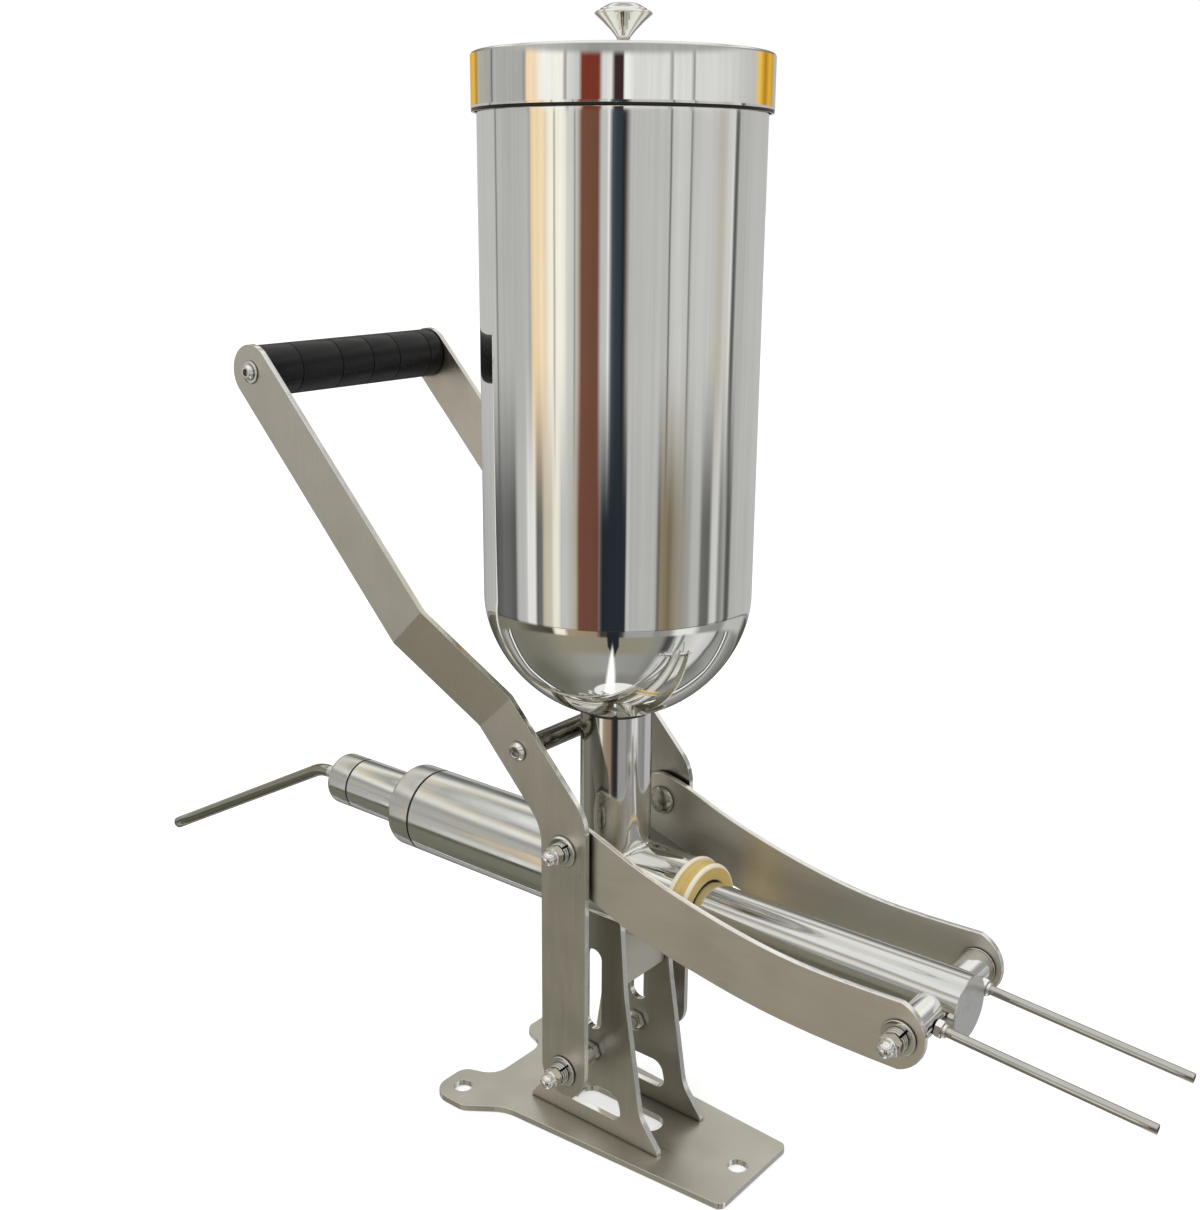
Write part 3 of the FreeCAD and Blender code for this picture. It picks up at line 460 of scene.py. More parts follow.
def sweep_mesh(name, path, rad, seg=32, bore=None, rads=None):
    """Tube along points in hopper millimetres; with a bore its two ends are open and have a wall."""
    pts = [Vector(p) for p in path]
    n = len(pts)
    frames = []
    t0 = (pts[1] - pts[0]).normalized()
    ref = Vector((0, 1, 0)) if abs(t0.y) < 0.9 else Vector((1, 0, 0))
    for i in range(n):
        t = (pts[min(i + 1, n - 1)] - pts[max(i - 1, 0)]).normalized()
        u = ref - t * ref.dot(t)
        u.normalize()
        frames.append((u, t.cross(u)))
        ref = u
    verts, rows = [], []

    def ring(i, r, shift=0.0):
        u, v = frames[i]
        t = (pts[min(i + 1, n - 1)] - pts[max(i - 1, 0)]).normalized()
        ids = []
        for k in range(seg):
            th = 2 * math.pi * k / seg
            ids.append(len(verts))
            verts.append(pts[i] + t * shift + u * (r * math.cos(th)) + v * (r * math.sin(th)))
        return ids

    edge = 0.12
    rows.append(ring(0, rad - edge * 1.2))
    rows.append(ring(0, rad - edge * 0.35, edge * 0.35))
    rows.append(ring(0, rad, edge))
    for i in range(1, n - 1):
        rows.append(ring(i, rads[i] if rads else rad))
    rows.append(ring(n - 1, rad, -edge))
    rows.append(ring(n - 1, rad - edge * 0.35, -edge * 0.35))
    rows.append(ring(n - 1, rad - edge * 1.2))
    if bore:
        rows.append(ring(n - 1, bore + edge))
        rows.append(ring(n - 1, bore, -edge))
        for i in range(n - 2, 0, -1):
            rows.append(ring(i, bore))
        rows.append(ring(0, bore, edge))
        rows.append(ring(0, bore + edge))
    faces = []
    m = len(rows)
    for i in range(m if bore else m - 1):
        a, b = rows[i], rows[(i + 1) % m]
        for k in range(seg):
            k2 = (k + 1) % seg
            faces.append((a[k], b[k], b[k2], a[k2]))
    if not bore:
        faces.append(tuple(rows[0]))
        faces.append(tuple(rows[-1]))
    me = bpy.data.meshes.new(name)
    me.from_pydata([((p.x + HX) * MM, p.y * MM, p.z * MM) for p in verts], [], faces)
    me.update()
    return me


def refine(cad, name, mats, width=0.6, segs=3, flat_axis=None, angle=40.0, replaces=True, sharp=50.0):
    """The CAD node's own shape with its flat faces whole again and every sharp edge rounded.
    With flat_axis the two broad faces take the first material, and the rim takes the second."""
    src = N[cad]
    bm = bmesh.new()
    bm.from_mesh(src.data)
    bmesh.ops.remove_doubles(bm, verts=bm.verts, dist=2e-6)
    bmesh.ops.dissolve_limit(bm, angle_limit=math.radians(0.6), verts=bm.verts, edges=bm.edges, use_dissolve_boundaries=False)
    edges = [e for e in bm.edges if len(e.link_faces) == 2 and e.calc_face_angle(0.0) > math.radians(angle)]
    bmesh.ops.bevel(bm, geom=edges, offset=width * MM, offset_type="OFFSET", segments=segs, profile=0.5,
                    affect="EDGES", clamp_overlap=True, loop_slide=True)
    bm.normal_update()
    if flat_axis is not None:
        ax = Vector(flat_axis).normalized()
        for f in bm.faces:
            f.material_index = 0 if abs(f.normal.dot(ax)) > 0.93 else 1
    bmesh.ops.triangulate(bm, faces=[f for f in bm.faces if len(f.verts) > 4])
    me = bpy.data.meshes.new(name)
    bm.to_mesh(me)
    bm.free()
    o = bpy.data.objects.new(name, me)
    bpy.context.scene.collection.objects.link(o)
    for m in (mats if isinstance(mats, (list, tuple)) else [mats]):
        me.materials.append(m)
    finish_mesh(me, sharp)
    wn = o.modifiers.new("weighted", "WEIGHTED_NORMAL")
    wn.keep_sharp = True
    wn.weight = 80
    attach(o, BODY_OF[cad])
    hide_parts(cad)
    return o


# =============================================================== plates
refine("base_plate", "base_plate_rounded", [M["satin_x"], M["edge"]], 0.9, 3, (0, 0, 1))
refine("side_bracket_near", "bracket_near_rounded", [M["satin_z"], M["edge"]], 0.8, 3, (0, 1, 0))
refine("side_bracket_far", "bracket_far_rounded", [M["satin_z"], M["edge"]], 0.8, 3, (0, 1, 0))
refine("front_web", "front_web_rounded", [M["satin_z"], M["edge"]], 0.4, 2, (1, 0, 0))
refine("lever_arm_near", "arm_near_rounded", [M["satin_arm"], M["edge"]], 0.8, 3, (0, 1, 0))
refine("lever_arm_far", "arm_far_rounded", [M["satin_arm"], M["edge"]], 0.8, 3, (0, 1, 0))
refine("link_near", "link_near_rounded", [M["satin_link"], M["edge"]], 0.8, 3, (0, 1, 0))
refine("link_far", "link_far_rounded", [M["satin_link"], M["edge"]], 0.8, 3, (0, 1, 0))

# =============================================================== hopper, lid, knob
R, WALL, DZ = 75.0, 1.5, 337.24
KR, KA, CR = 54.47, math.radians(17.27), 78.32
NR, OB, SR = 20.8, 17.5, 19.2
turn_r, turn_z = R - KR + KR * math.cos(KA), DZ - KR * math.sin(KA)
crown_r, crown_z = turn_r - CR * math.cos(KA), turn_z + CR * math.sin(KA)


def bottom(off, r_end, n1=40, n2=44):
    """Points of the hopper's bottom from the wall down to r_end, on the surface moved in by off."""
    out = []
    for i in range(n1 + 1):
        a = KA * i / n1
        out.append((R - KR + (KR - off) * math.cos(a), DZ - (KR - off) * math.sin(a)))
    rc = CR - off
    a_end = math.acos((r_end - crown_r) / rc)
    for i in range(1, n2 + 1):
        a = KA + (a_end - KA) * i / n2
        out.append((crown_r + rc * math.cos(a), crown_z - rc * math.sin(a)))
    return out


outer = bottom(0.0, NR)
inner = bottom(WALL, OB)
prof = [(R, 616.6, 0), (R, 500, 0), (R, 400, 0)] + [(r, z, 0) for r, z in outer] + [
    (NR, 269.2, 0), (OB, 269.2, 0)] + [(r, z, 0) for r, z in reversed(inner)] + [
    (R - WALL, 400, 0), (R - WALL, 616.6, 0), (R - 0.75, 616.9, 0)]


def hopper_inside(r, h):
    """1 on the faces that hold the filling, 0 on the polished outside and the rim."""
    if h > DZ:
        return 1 if r < R - 0.8 else 0
    if math.atan2(DZ - h, r - (R - KR)) < KA:
        return 1 if math.hypot(r - (R - KR), h - DZ) < KR - 0.8 else 0
    return 1 if math.hypot(r - crown_r, h - crown_z) < CR - 0.8 else 0


add_object("hopper_shell", lathe_mesh("hopper_shell", prof, (0, 0, 0), "z", 256, bands=hopper_inside), "hopper", [M["mirror"], M["inside"]], ["hopper"], 30)

add_object("hopper_spigot_turned", lathe_mesh("hopper_spigot_turned", [(OB, 255.0, 0), (SR, 255.0, 0.3), (SR, 269.2, 0), (OB, 269.2, 0)], (0, 0, 0), "z", 128), "hopper_spigot", M["mirror"], ["hopper_spigot"], 30)

LR = 77.8
lid = [(2.1, 619.0, 0), (40, 619.0, 0), (LR - 1.5, 619.0, 0.4), (LR - 1.5, 592.2, 0.2), (LR - 1.3, 592.0, 0.15), (LR - 0.35, 592.0, 0.3), (LR - 0.1, 592.6, 0.3), (LR - 0.25, 593.3, 0.15),
       (LR, 593.7, 0.2), (LR, 595.0, 0), (LR, 606.0, 0), (LR, 620.5, 1.6), (60, 620.5, 0), (30, 620.5, 0), (2.1, 620.5, 0)]
# painted shadow: the lid's lowest lip, below 593.55 mm, takes the near-black shadow_edge material for the shade in the
# gap
add_object("lid_shell", lathe_mesh("lid_shell", lid, (0, 0, 0), "z", 256, steps=8, bands=lambda r, h: 1 if (h < 593.55 and r > LR - 0.5) else 0), "lid", [M["mirror"], M["shadow_edge"]], ["lid"], 30)
knob = [(2.05, 620.5, 0), (6.4, 620.5, 0.4), (5.8, 621.4, 0.5), (3.4, 622.6, 1.2), (2.95, 626.0, 3.0), (3.6, 628.8, 3.0), (6.2, 631.9, 5.0), (10.4, 636.0, 6.0), (14.2, 639.3, 0.5),
        (15.0, 639.8, 0.35), (14.0, 640.9, 1.0), (12.2, 641.6, 0.8), (11.6, 642.3, 0.6), (7.0, 644.7, 8.0), (0, 645.4, 0), (0, 637.4, 0), (2.05, 637.4, 0)]
add_object("lid_knob_turned", lathe_mesh("lid_knob_turned", knob, (0, 0, 0), "z", 128, steps=8), "lid_knob", M["mirror"], ["lid_knob"], 30)

# =============================================================== neck and its saddle weld
PR = 27.2
seg = 192
verts, faces = [], []
heights = 14


def saddle(r, th, rp=PR):
    y = r * math.sin(th)
    return ZP + math.sqrt(max(rp * rp - y * y, 0.0))


rows = []
for r, inside in ((NR, False), (18.0, True)):
    for j in range(heights + 1):
        row = []
        for k in range(seg):
            th = 2 * math.pi * k / seg
            z0 = saddle(r, th) if not inside else saddle(r, th, 22.5)
            top = 267.9 if not inside else 254.7
            t = j / heights
            row.append(len(verts))
            verts.append(W(r * math.cos(th), r * math.sin(th), z0 + (top - z0) * t))
        rows.append(row)
outer_rows, inner_rows = rows[:heights + 1], rows[heights + 1:]


def strip(a, b):
    for k in range(seg):
        k2 = (k + 1) % seg
        faces.append((a[k], a[k2], b[k2], b[k]))


for j in range(heights):
    strip(outer_rows[j], outer_rows[j + 1])
    strip(inner_rows[j + 1], inner_rows[j])
ledge = []
for r, z in ((NR - 0.15, 268.0), (19.4, 268.0), (19.25, 254.7)):
    row = []
    for k in range(seg):
        th = 2 * math.pi * k / seg
        row.append(len(verts))
        verts.append(W(r * math.cos(th), r * math.sin(th), z if z < 268 else 267.9))
    ledge.append(row)
strip(outer_rows[-1], ledge[0])
strip(ledge[0], ledge[1])
strip(ledge[1], ledge[2])
strip(ledge[2], inner_rows[-1])
strip(inner_rows[0], outer_rows[0])
me = bpy.data.meshes.new("neck_tube_polished")
me.from_pydata(verts, [], faces)
add_object("neck_tube_polished", me, "neck_tube", M["neck"], ["neck_tube"], 35)

# weld fillet where the neck stands on the cylinder: a concave strip between the two surfaces
verts, faces = [], []
steps_w, foot = 6, 2.0
ring_rows = []
for j in range(steps_w + 1):
    a = j / steps_w * math.pi / 2
    row = []
    for k in range(seg):
        th = 2 * math.pi * k / seg
        up = foot * (1 - math.sin(a))
        out_r = foot * (1 - math.cos(a))
        ripple = 0.10 * math.sin(th * 46) * math.sin(2 * a)
        r = NR + out_r + 0.03 + ripple * 0.6
        z = saddle(min(r, PR - 0.2), th) + up + 0.03 + ripple
        row.append(len(verts))
        verts.append(W(r * math.cos(th), r * math.sin(th), z))
    ring_rows.append(row)
low_row = []
for k in range(seg):
    th = 2 * math.pi * k / seg
    low_row.append(len(verts))
    verts.append(W((NR - 0.3) * math.cos(th), (NR - 0.3) * math.sin(th), saddle(NR, th) - 0.6))
for j in range(steps_w):
    strip(ring_rows[j], ring_rows[j + 1])
strip(ring_rows[-1], low_row)
strip(low_row, ring_rows[0])
me = bpy.data.meshes.new("neck_weld")
me.from_pydata(verts, [], faces)
add_object("neck_weld", me, "neck_tube", M["edge"], (), 60)

gask = [(19.25, 267.95, 0), (20.9, 267.95, 0.3), (20.9, 269.15, 0.3), (19.25, 269.15, 0)]
add_object("neck_gasket_ring", lathe_mesh("neck_gasket_ring", gask, (0, 0, 0), "z", 128), "neck_gasket", M["seal"], ["neck_gasket"])

# =============================================================== pump cylinder, gland, outlet
A = (0, 0, ZP)
# band 2, the rear chamfer below -148.5 mm, takes shadow_edge as a painted groove shadow
add_object("pump_cylinder_turned", lathe_mesh("pump_cylinder_turned", [
    (22.5, -149, 0), (PR - 0.5, -149, 0.0), (PR, -148.4, 0.3), (PR, -100, 0), (PR, 0, 0), (PR, 54.4, 0.4), (PR - 0.5, 55, 0), (22.5, 55, 0)],
    A, "x", 224, bands=lambda r, h: 1 if (r < PR - 0.7) else (2 if h < -148.5 else (3 if h > 5 else 0))), "pump_cylinder", [M["turned_x"], M["end_face"], M["shadow_edge"], M["front_x"]], ["pump_cylinder"], 35)
GR = 27.4
add_object("gland_seat_turned", lathe_mesh("gland_seat_turned", [
    (22.5, 55, 0), (GR + 1.3, 55, 0.6), (GR + 1.6, 56.2, 1.0), (GR + 1.3, 57.6, 0.6), (22.5, 57.6, 0)], A, "x", 160, steps=6),
    "gland_seat_ring", M["cream"], ["gland_seat_ring"])
# band 1, the rounded outer rim of the gland's amber front face, takes the cream material as a painted highlight
add_object("gland_turned", lathe_mesh("gland_turned", [
    (17.47, 45.5, 0), (22.4, 45.5, 0.8), (22.4, 57.6, 0), (GR - 0.5, 57.6, 0.2), (GR, 58.2, 0.3), (GR, 61.6, 0), (GR - 0.25, 61.8, 0), (GR - 0.25, 62.2, 0),
    (GR, 62.4, 0), (GR, 67.2, 2.0), (18.75, 67.2, 0.3), (18.35, 66.8, 0.2), (18.35, 65.2, 0), (17.47, 65.2, 0)], A, "x", 192, steps=8,
    bands=lambda r, h: 1 if (h > 64.9 and r > GR - 2.3) else 0), "gland_bushing", [M["amber"], M["cream"]], ["gland_bushing"])
add_object("rod_wiper_turned", lathe_mesh("rod_wiper_turned", [
    (17.55, 65.3, 0), (18.3, 65.3, 0), (18.3, 66.7, 0.2), (17.9, 67.0, 0.2), (17.55, 66.9, 0)], A, "x", 128, steps=5), "rod_wiper_ring", M["seal"], ["rod_wiper_ring"])

# band 2, the chamfer below 150.15 mm, takes shadow_edge as a painted groove shadow
add_object("flange_cap_turned", lathe_mesh("flange_cap_turned", [
    (10, 136, 0), (22.4, 136, 0.8), (22.4, 149.8, 0), (PR - 0.3, 149.8, 0.2), (PR, 150.2, 0.3), (PR, 169, 3.4), (18.5, 169, 0.4), (17.9, 168.6, 0.3), (14.05, 168.6, 0),
    (14.05, 181, 0), (10, 181, 0)], A, "-x", 192, steps=10, bands=lambda r, h: 1 if h > 168.4 and r < 24 else (2 if h < 150.15 else 0)), "outlet_flange_cap", [M["lathe_x"], M["end_face"], M["shadow_edge"]], ["outlet_flange_cap"])
add_object("flange_gasket_ring", lathe_mesh("flange_gasket_ring", [
    (22.6, 149.05, 0), (PR - 0.5, 149.05, 0), (PR - 0.5, 149.75, 0), (22.6, 149.75, 0)], A, "-x", 160), "flange_gasket", M["seal"], ["flange_gasket"])
add_object("valve_body_turned", lathe_mesh("valve_body_turned", [
    (5, 180.8, 0), (14.0, 180.8, 0.6), (14.0, 169.05, 0), (17.0, 169.05, 0.3), (17.5, 169.6, 0.3), (17.5, 188, 0), (17.5, 218.0, 0.4), (17.0, 218.5, 0.2), (12.05, 218.5, 0),
    (12.05, 230.5, 0), (8, 230.5, 0), (8, 170, 0), (5, 170, 0)], A, "-x", 160, steps=5), "outlet_valve_body", M["turned_x"], ["outlet_valve_body"])
# band 2, the chamfer below 219.6 mm, takes shadow_edge as a painted seam shadow
add_object("end_cap_turned", lathe_mesh("end_cap_turned", [
    (3.3, 230.2, 0), (12.0, 230.2, 0.6), (12.0, 219.2, 0), (17.0, 219.2, 0.3), (17.5, 219.7, 0.4), (17.5, 239.0, 3.4), (8.6, 239.0, 0.5), (8.0, 238.6, 0.3), (6.4, 238.6, 0.2),
    (6.4, 242.0, 0), (4.35, 242.0, 0), (4.35, 254.0, 0), (3.3, 254.0, 0)], A, "-x", 160, steps=10, bands=lambda r, h: 1 if h > 238.4 and r < 14 else (2 if h < 219.6 else 0)),
    "outlet_end_cap", [M["lathe_x"], M["end_face"], M["shadow_edge"]], ["outlet_end_cap"])
add_object("end_cap_seal_ring", lathe_mesh("end_cap_seal_ring", [
    (12.1, 218.55, 0), (16.9, 218.55, 0), (16.9, 219.15, 0), (12.1, 219.15, 0)], A, "-x", 128), "end_cap_seal", M["seal"], ["end_cap_seal"])

# bent outlet tube
tr, tb, tbr = 4.3, 3.3, 32.0
bend = Vector((-263.6, 0, ZP))
tip = Vector((-441.7, 0, 67.2))
start = Vector((-239.0 + 14.6, 0, ZP))
d = (tip - bend).normalized()
turn = math.acos(d.dot(Vector((-1, 0, 0))))
tan = tbr * math.tan(turn / 2)
pa, pc = bend + Vector((1, 0, 0)) * tan, bend + d * tan
centre = pa - Vector((0, 0, 1)) * tbr
path = [start, start.lerp(pa, 0.5)]
for i in range(25):
    a = turn * i / 24
    path.append(centre + Vector((-math.sin(a), 0, math.cos(a))) * tbr)
for i in range(1, 9):
    path.append(pc.lerp(tip, i / 8))
add_object("bent_tube_swept", sweep_mesh("bent_tube_swept", path, tr, 40, tb), "bent_nozzle", M["bent"], ["bent_nozzle"], 40)

# =============================================================== plunger
add_object("plunger_rod_ground", lathe_mesh("plunger_rod_ground", [
    (5, 24, 0), (10, 24, 0), (10, 43.8, 0), (17.4, 43.8, 0.5), (17.4, 60, 0), (17.4, 120, 0), (17.4, 180, 0), (17.4, 226.7, 0.3), (16.8, 227.3, 0.3), (1.2, 227.3, 0), (0, 227.0, 0),
    (0, 200, 0), (5, 199, 0)], A, "x", 192, steps=4, bands=lambda r, h: 1 if h > 226.9 and r < 17.0 else 0), "plunger_rod", [M["rod"], M["end_face"]], ["plunger_rod"], 30)
refine("crosshead_bar", "crosshead_bar_turned", M["fastener"], 0.4, 2)
droop = math.radians(4.4)
an = Vector((math.cos(droop), 0, -math.sin(droop)))
for s, side in ((-1, "near"), (1, "far")):
    c = Vector((212, s * 25.2, ZP))
    pts = [c + an * (4.0 + (118.9 - 4.0) * i / 12) for i in range(13)]
    add_object("needle_" + side, sweep_mesh("needle_" + side, pts, 2.5, 36, 1.8), "nozzle_" + side, M["tube"], ["nozzle_" + side], 40)
nuts, rings = [], []
for s in (-1, 1):
    c = Vector((212, s * 25.2, ZP))
    nuts.append(hex_mesh("n", 4.7, 3.8, 2.54, c + an * 9.6, an, rot=0.3))
    rings.append(lathe_mesh("r", [(2.54, 0, 0), (3.5, 0, 0.3), (3.7, 0.6, 0.3), (3.3, 1.8, 0.4), (2.54, 1.8, 0)], c + an * 13.4, an, 64))
add_object("needle_nuts", join_meshes("needle_nuts", nuts), "nozzle_nuts", M["fastener"], ["nozzle_nuts"])
add_object("needle_nut_rings", join_meshes("needle_nut_rings", rings), "nozzle_nut_rings", M["fastener"], ["nozzle_nut_rings"])


# =============================================================== pivots
def washer(rad, bore, thick, x, z, y, s, seg=96):
    return lathe_mesh("w", [(bore, 0, 0.12), (rad, 0, 0.35), (rad, thick, 0.35), (bore, thick, 0.12)], (x, s * y, z), "y" if s > 0 else "-y", seg, steps=4)


def split_ring(rad, bore, thick, x, z, y, s, gap=0.22):
    """Spring washer: square wire with a slanted cut, its two ends a little apart along the axis."""
    u, v, w = basis("y" if s > 0 else "-y")
    o = Vector((x, s * y, z))
    n = 72
    cs = round_profile([(bore, 0.0, 0.25), (rad, 0.0, 0.45), (rad, thick, 0.45), (bore, thick, 0.25)], True, 3)
    verts, rows = [], []
    for i in range(n + 1):
        t = i / n
        th = gap / 2 + (2 * math.pi - gap) * t + 0.9
        rise = (t - 0.5) * 0.25
        row = []
        for r, h in cs:
            hh = min(max(h + rise, 0.0), thick + 0.02)
            row.append(len(verts))
            verts.append(o + w * hh + u * (r * math.cos(th)) + v * (r * math.sin(th)))
        rows.append(row)
    faces = []
    m = len(cs)
    for i in range(n):
        a, b = rows[i], rows[i + 1]
        for k in range(m):
            k2 = (k + 1) % m
            faces.append((a[k], b[k], b[k2], a[k2]))
    faces.append(tuple(rows[0]))
    faces.append(tuple(reversed(rows[-1])))
    me = bpy.data.meshes.new("s")
    me.from_pydata([((p.x + HX) * MM, p.y * MM, p.z * MM) for p in verts], [], faces)
    me.update()
    return me


def stack(prefix, x, z, y, rings=3, rot=0.2):
    wt, rt, nt_ = 1.5, 1.6, 4.8
    ws, ss, ns = [], [], []
    for s in (-1, 1):
        ax = "y" if s > 0 else "-y"
        ws.append(washer(9.2, 3.02, wt, x, z, y, s))
        for i in range(rings):
            ss.append(split_ring(6.1, 3.6, rt - 0.05, x, z, y + wt + i * (rt + 0.05), s))
        y1 = y + wt + rings * (rt + 0.05)
        ns.append(hex_mesh("n", 5.8, nt_, 3.02, (x, s * y1, z), ax, rot=rot + 0.35 * s))
        ns.append(lathe_mesh("d", [(3.02, nt_ - 0.6, 0), (5.0, nt_ - 0.6, 0), (4.75, nt_ + 0.2, 0.5), (4.5, nt_ + 0.7, 0.3), (4.5, nt_ + 2.0, 0.5)] + [
            (4.5 * math.cos(a), nt_ + 2.2 + 4.5 * math.sin(a), 0) for a in [math.radians(v_) for v_ in range(6, 90, 7)]] + [
            (0, nt_ + 6.7, 0), (0, nt_ + 0.5, 0), (3.02, nt_ + 0.5, 0)], (x, s * y1, z), ax, 72))
    add_object(prefix + "_plain_washers", join_meshes("m", ws), prefix + "_washers", M["fastener"], [prefix + "_washers"])
    add_object(prefix + "_split_rings", join_meshes("m", ss), prefix + "_spring_washers", M["spring"], [prefix + "_spring_washers"])
    add_object(prefix + "_domed_nuts", join_meshes("m", ns), prefix + "_cap_nuts", M["fastener"], [prefix + "_cap_nuts"])


PX, ZL, ZM, CX = 3.0, 56.0, 197.0, 212.0
AI, AT, LI, LT = 47.8, 3.5, 42.0, 3.5
stack("lever_pivot", PX, ZL, AI + AT + 0.3, 3)
stack("link_pivot", PX, ZM, AI + AT, 2)
stack("crosshead", CX, ZP, LI + LT + 0.3, 3)
nuts = []
for s in (-1, 1):
    ax = "y" if s > 0 else "-y"
    nuts.append(hex_mesh("n", 6.6, 5.0, 3.02, (PX, s * 24.0, ZL), ax, rot=0.4))
    nuts.append(hex_mesh("n", 6.6, 3.8, 3.02, (PX, s * 16.2, ZL), ax, rot=0.1))
add_object("lever_pivot_hex_nuts", join_meshes("m", nuts), "lever_pivot_inner_nuts", M["fastener"], ["lever_pivot_inner_nuts"])
add_object("lever_pivot_sleeves", join_meshes("m", [lathe_mesh("s", [
    (3.02, 0, 0), (7.0, 0, 0.4), (7.0, AI - 24 - 5.6, 0.4), (3.02, AI - 24 - 5.6, 0)], (PX, s * 29.2, ZL), "y" if s > 0 else "-y", 72) for s in (-1, 1)]),
    "lever_pivot_spacers", M["fastener"], ["lever_pivot_spacers"])
add_object("link_pivot_shims", join_meshes("m", [washer(9.0, 3.02, AI - 0.04 - (LI + LT + 0.2), PX, ZM, LI + LT + 0.2, s) for s in (-1, 1)]),
           "link_pivot_spacers", M["fastener"], ["link_pivot_spacers"])
heads = []
for s_ in (-1, 1):
    ax = "-y" if s_ > 0 else "y"
    heads.append(lathe_mesh("h", [(0, 0, 0), (8.6, 0, 0.3), (8.8, 0.6, 0.3)] + [(8.7 * math.cos(a_), 0.5 + 3.7 * math.sin(a_), 0) for a_ in [math.radians(v_) for v_ in range(8, 90, 6)]] + [(0, 4.2, 0)],
                            (PX, s_ * LI, ZM), ax, 96, closed=False))
    heads.append(lathe_mesh("k", [(0, 0, 0), (2.98, 0, 0), (2.98, 17.0, 0.3), (0, 17.0, 0)], (PX, s_ * LI, ZM), "y" if s_ > 0 else "-y", 48, closed=False))
add_object("link_pivot_round_heads", join_meshes("m", heads), "link_pivot_bolts", M["dark_dome"], ["link_pivot_bolts"])
add_object("crosshead_rings", join_meshes("m", [washer(10.2, 3.02, 1.1, CX, ZP, 40.5, s_) for s_ in (-1, 1)]), "crosshead_inner_washers", M["spring"], ["crosshead_inner_washers"])

# =============================================================== grip and crossbar
ang = math.radians(46.5)
ua = Vector((-math.cos(ang), 0, math.sin(ang)))
knee = Vector((7.65, 0, 208.95))
ga, ba = knee + ua * 330.5, knee + ua * 55.0
GRP = 15.5
prof = [(6.0, -71.4, 0), (GRP, -71.4, 1.2)]
for y in (-48.0, -16.5, 9.0, 31.5, 59.0):
    prof += [(GRP, y, 0.15), (GRP - 0.45, y + 0.15, 0.1), (GRP - 0.45, y + 0.75, 0.1), (GRP, y + 0.9, 0.15)]
prof += [(GRP, 71.4, 1.2), (6.0, 71.4, 0)]
add_object("grip_turned", lathe_mesh("grip_turned", prof, (ga.x, 0, ga.z), "y", 128, steps=4), "grip", M["grip"], ["grip"])


def screws(name, at, y, head_r, head_t, shank_r, shank_l, cad):
    parts = []
    for s in (-1, 1):
        ax = "y" if s > 0 else "-y"
        k = head_r * 0.5
        parts.append(lathe_mesh("h", [(0, -shank_l, 0), (shank_r, -shank_l, 0.2), (shank_r, 0, 0), (head_r, 0, 0.25), (head_r, head_t * 0.45, 0.8), (head_r * 0.72, head_t, 0.9),
                                      (k * 0.95, head_t, 0.15), (k * 0.87, head_t * 0.45, 0), (0, head_t * 0.40, 0)], (at.x, s * y, at.z), ax, 72, steps=4))
    add_object(name, join_meshes("m", parts), cad, M["fastener"], [cad])


screws("grip_screws_domed", ga, 75.0 + 1.2, 4.7, 3.0, 3.0, 16, "grip_screws")
screws("crossbar_screws_domed", ba, AI + AT, 5.6, 3.2, 2.5, 14, "crossbar_screws")
add_object("grip_plain_washers", join_meshes("m", [washer(6.7, 3.02, 1.2, ga.x, ga.z, 75.0, s) for s in (-1, 1)]), "grip_washers", M["fastener"], ["grip_washers"])
add_object("crossbar_turned", lathe_mesh("crossbar_turned", [(2.52, -AI + 0.02, 0), (6.0, -AI + 0.02, 0.4), (6.0, -20, 0), (6.0, 20, 0), (6.0, AI - 0.02, 0.4), (2.52, AI - 0.02, 0)],
           (ba.x, 0, ba.z), "y", 96), "crossbar", M["dark_bar"], ["crossbar"])

# =============================================================== floor, light, camera
me = bpy.data.meshes.new("floor")
S = 30.0
me.from_pydata([(-S, -S, -0.0003), (S, -S, -0.0003), (S, S, -0.0003), (-S, S, -0.0003)], [], [(0, 1, 2, 3)])
floor = bpy.data.objects.new("floor", me)
bpy.context.scene.collection.objects.link(floor)
fm, nt, b = new_mat("pale_floor")
b.inputs["Base Color"].default_value = (0.60, 0.60, 0.60, 1)
b.inputs["Emission Color"].default_value = (1.0, 1.0, 1.0, 1)
b.inputs["Emission Strength"].default_value = 0.52
b.inputs["Roughness"].default_value = 0.8
b.inputs["Specular IOR Level"].default_value = 0.0
me.materials.append(fm)
floor.visible_glossy = False

world = bpy.data.worlds.new("studio")
bpy.context.scene.world = world
world.use_nodes = True
world.cycles.sampling_method = "NONE"
nt = world.node_tree
bg = nt.nodes["Background"]
tc = node(nt, "ShaderNodeTexCoord")
sep = node(nt, "ShaderNodeSeparateXYZ")
link(nt, tc.outputs["Generated"], sep.inputs[0])
azimuth = math_node(nt, "ARCTAN2", sep.outputs[1], sep.outputs[0])
FRONT = math.radians(-51.9)
rel = math_node(nt, "SUBTRACT", azimuth, FRONT)
wrap = node(nt, "ShaderNodeMath", operation="WRAP")
link(nt, rel, wrap.inputs[0])
wrap.inputs[1].default_value = math.pi
wrap.inputs[2].default_value = -math.pi
turn01 = map_range(nt, wrap.outputs[0], -math.pi, math.pi, 0.0, 1.0)


def ramp(src, stops, mode="LINEAR"):
    n = node(nt, "ShaderNodeValToRGB")
    n.color_ramp.interpolation = mode
    els = n.color_ramp.elements
    while len(els) > 1:
        els.remove(els[-1])
    first = True
    for p, c in stops:
        e = els[0] if first else els.new(p)
        e.position = p
        first = False
        c = (c, c, c) if isinstance(c, (int, float)) else c
        e.color = (*c, 1)
    link(nt, src, n.inputs[0])
    return n.outputs[0]


def at(deg):
    return (deg + 180) / 360


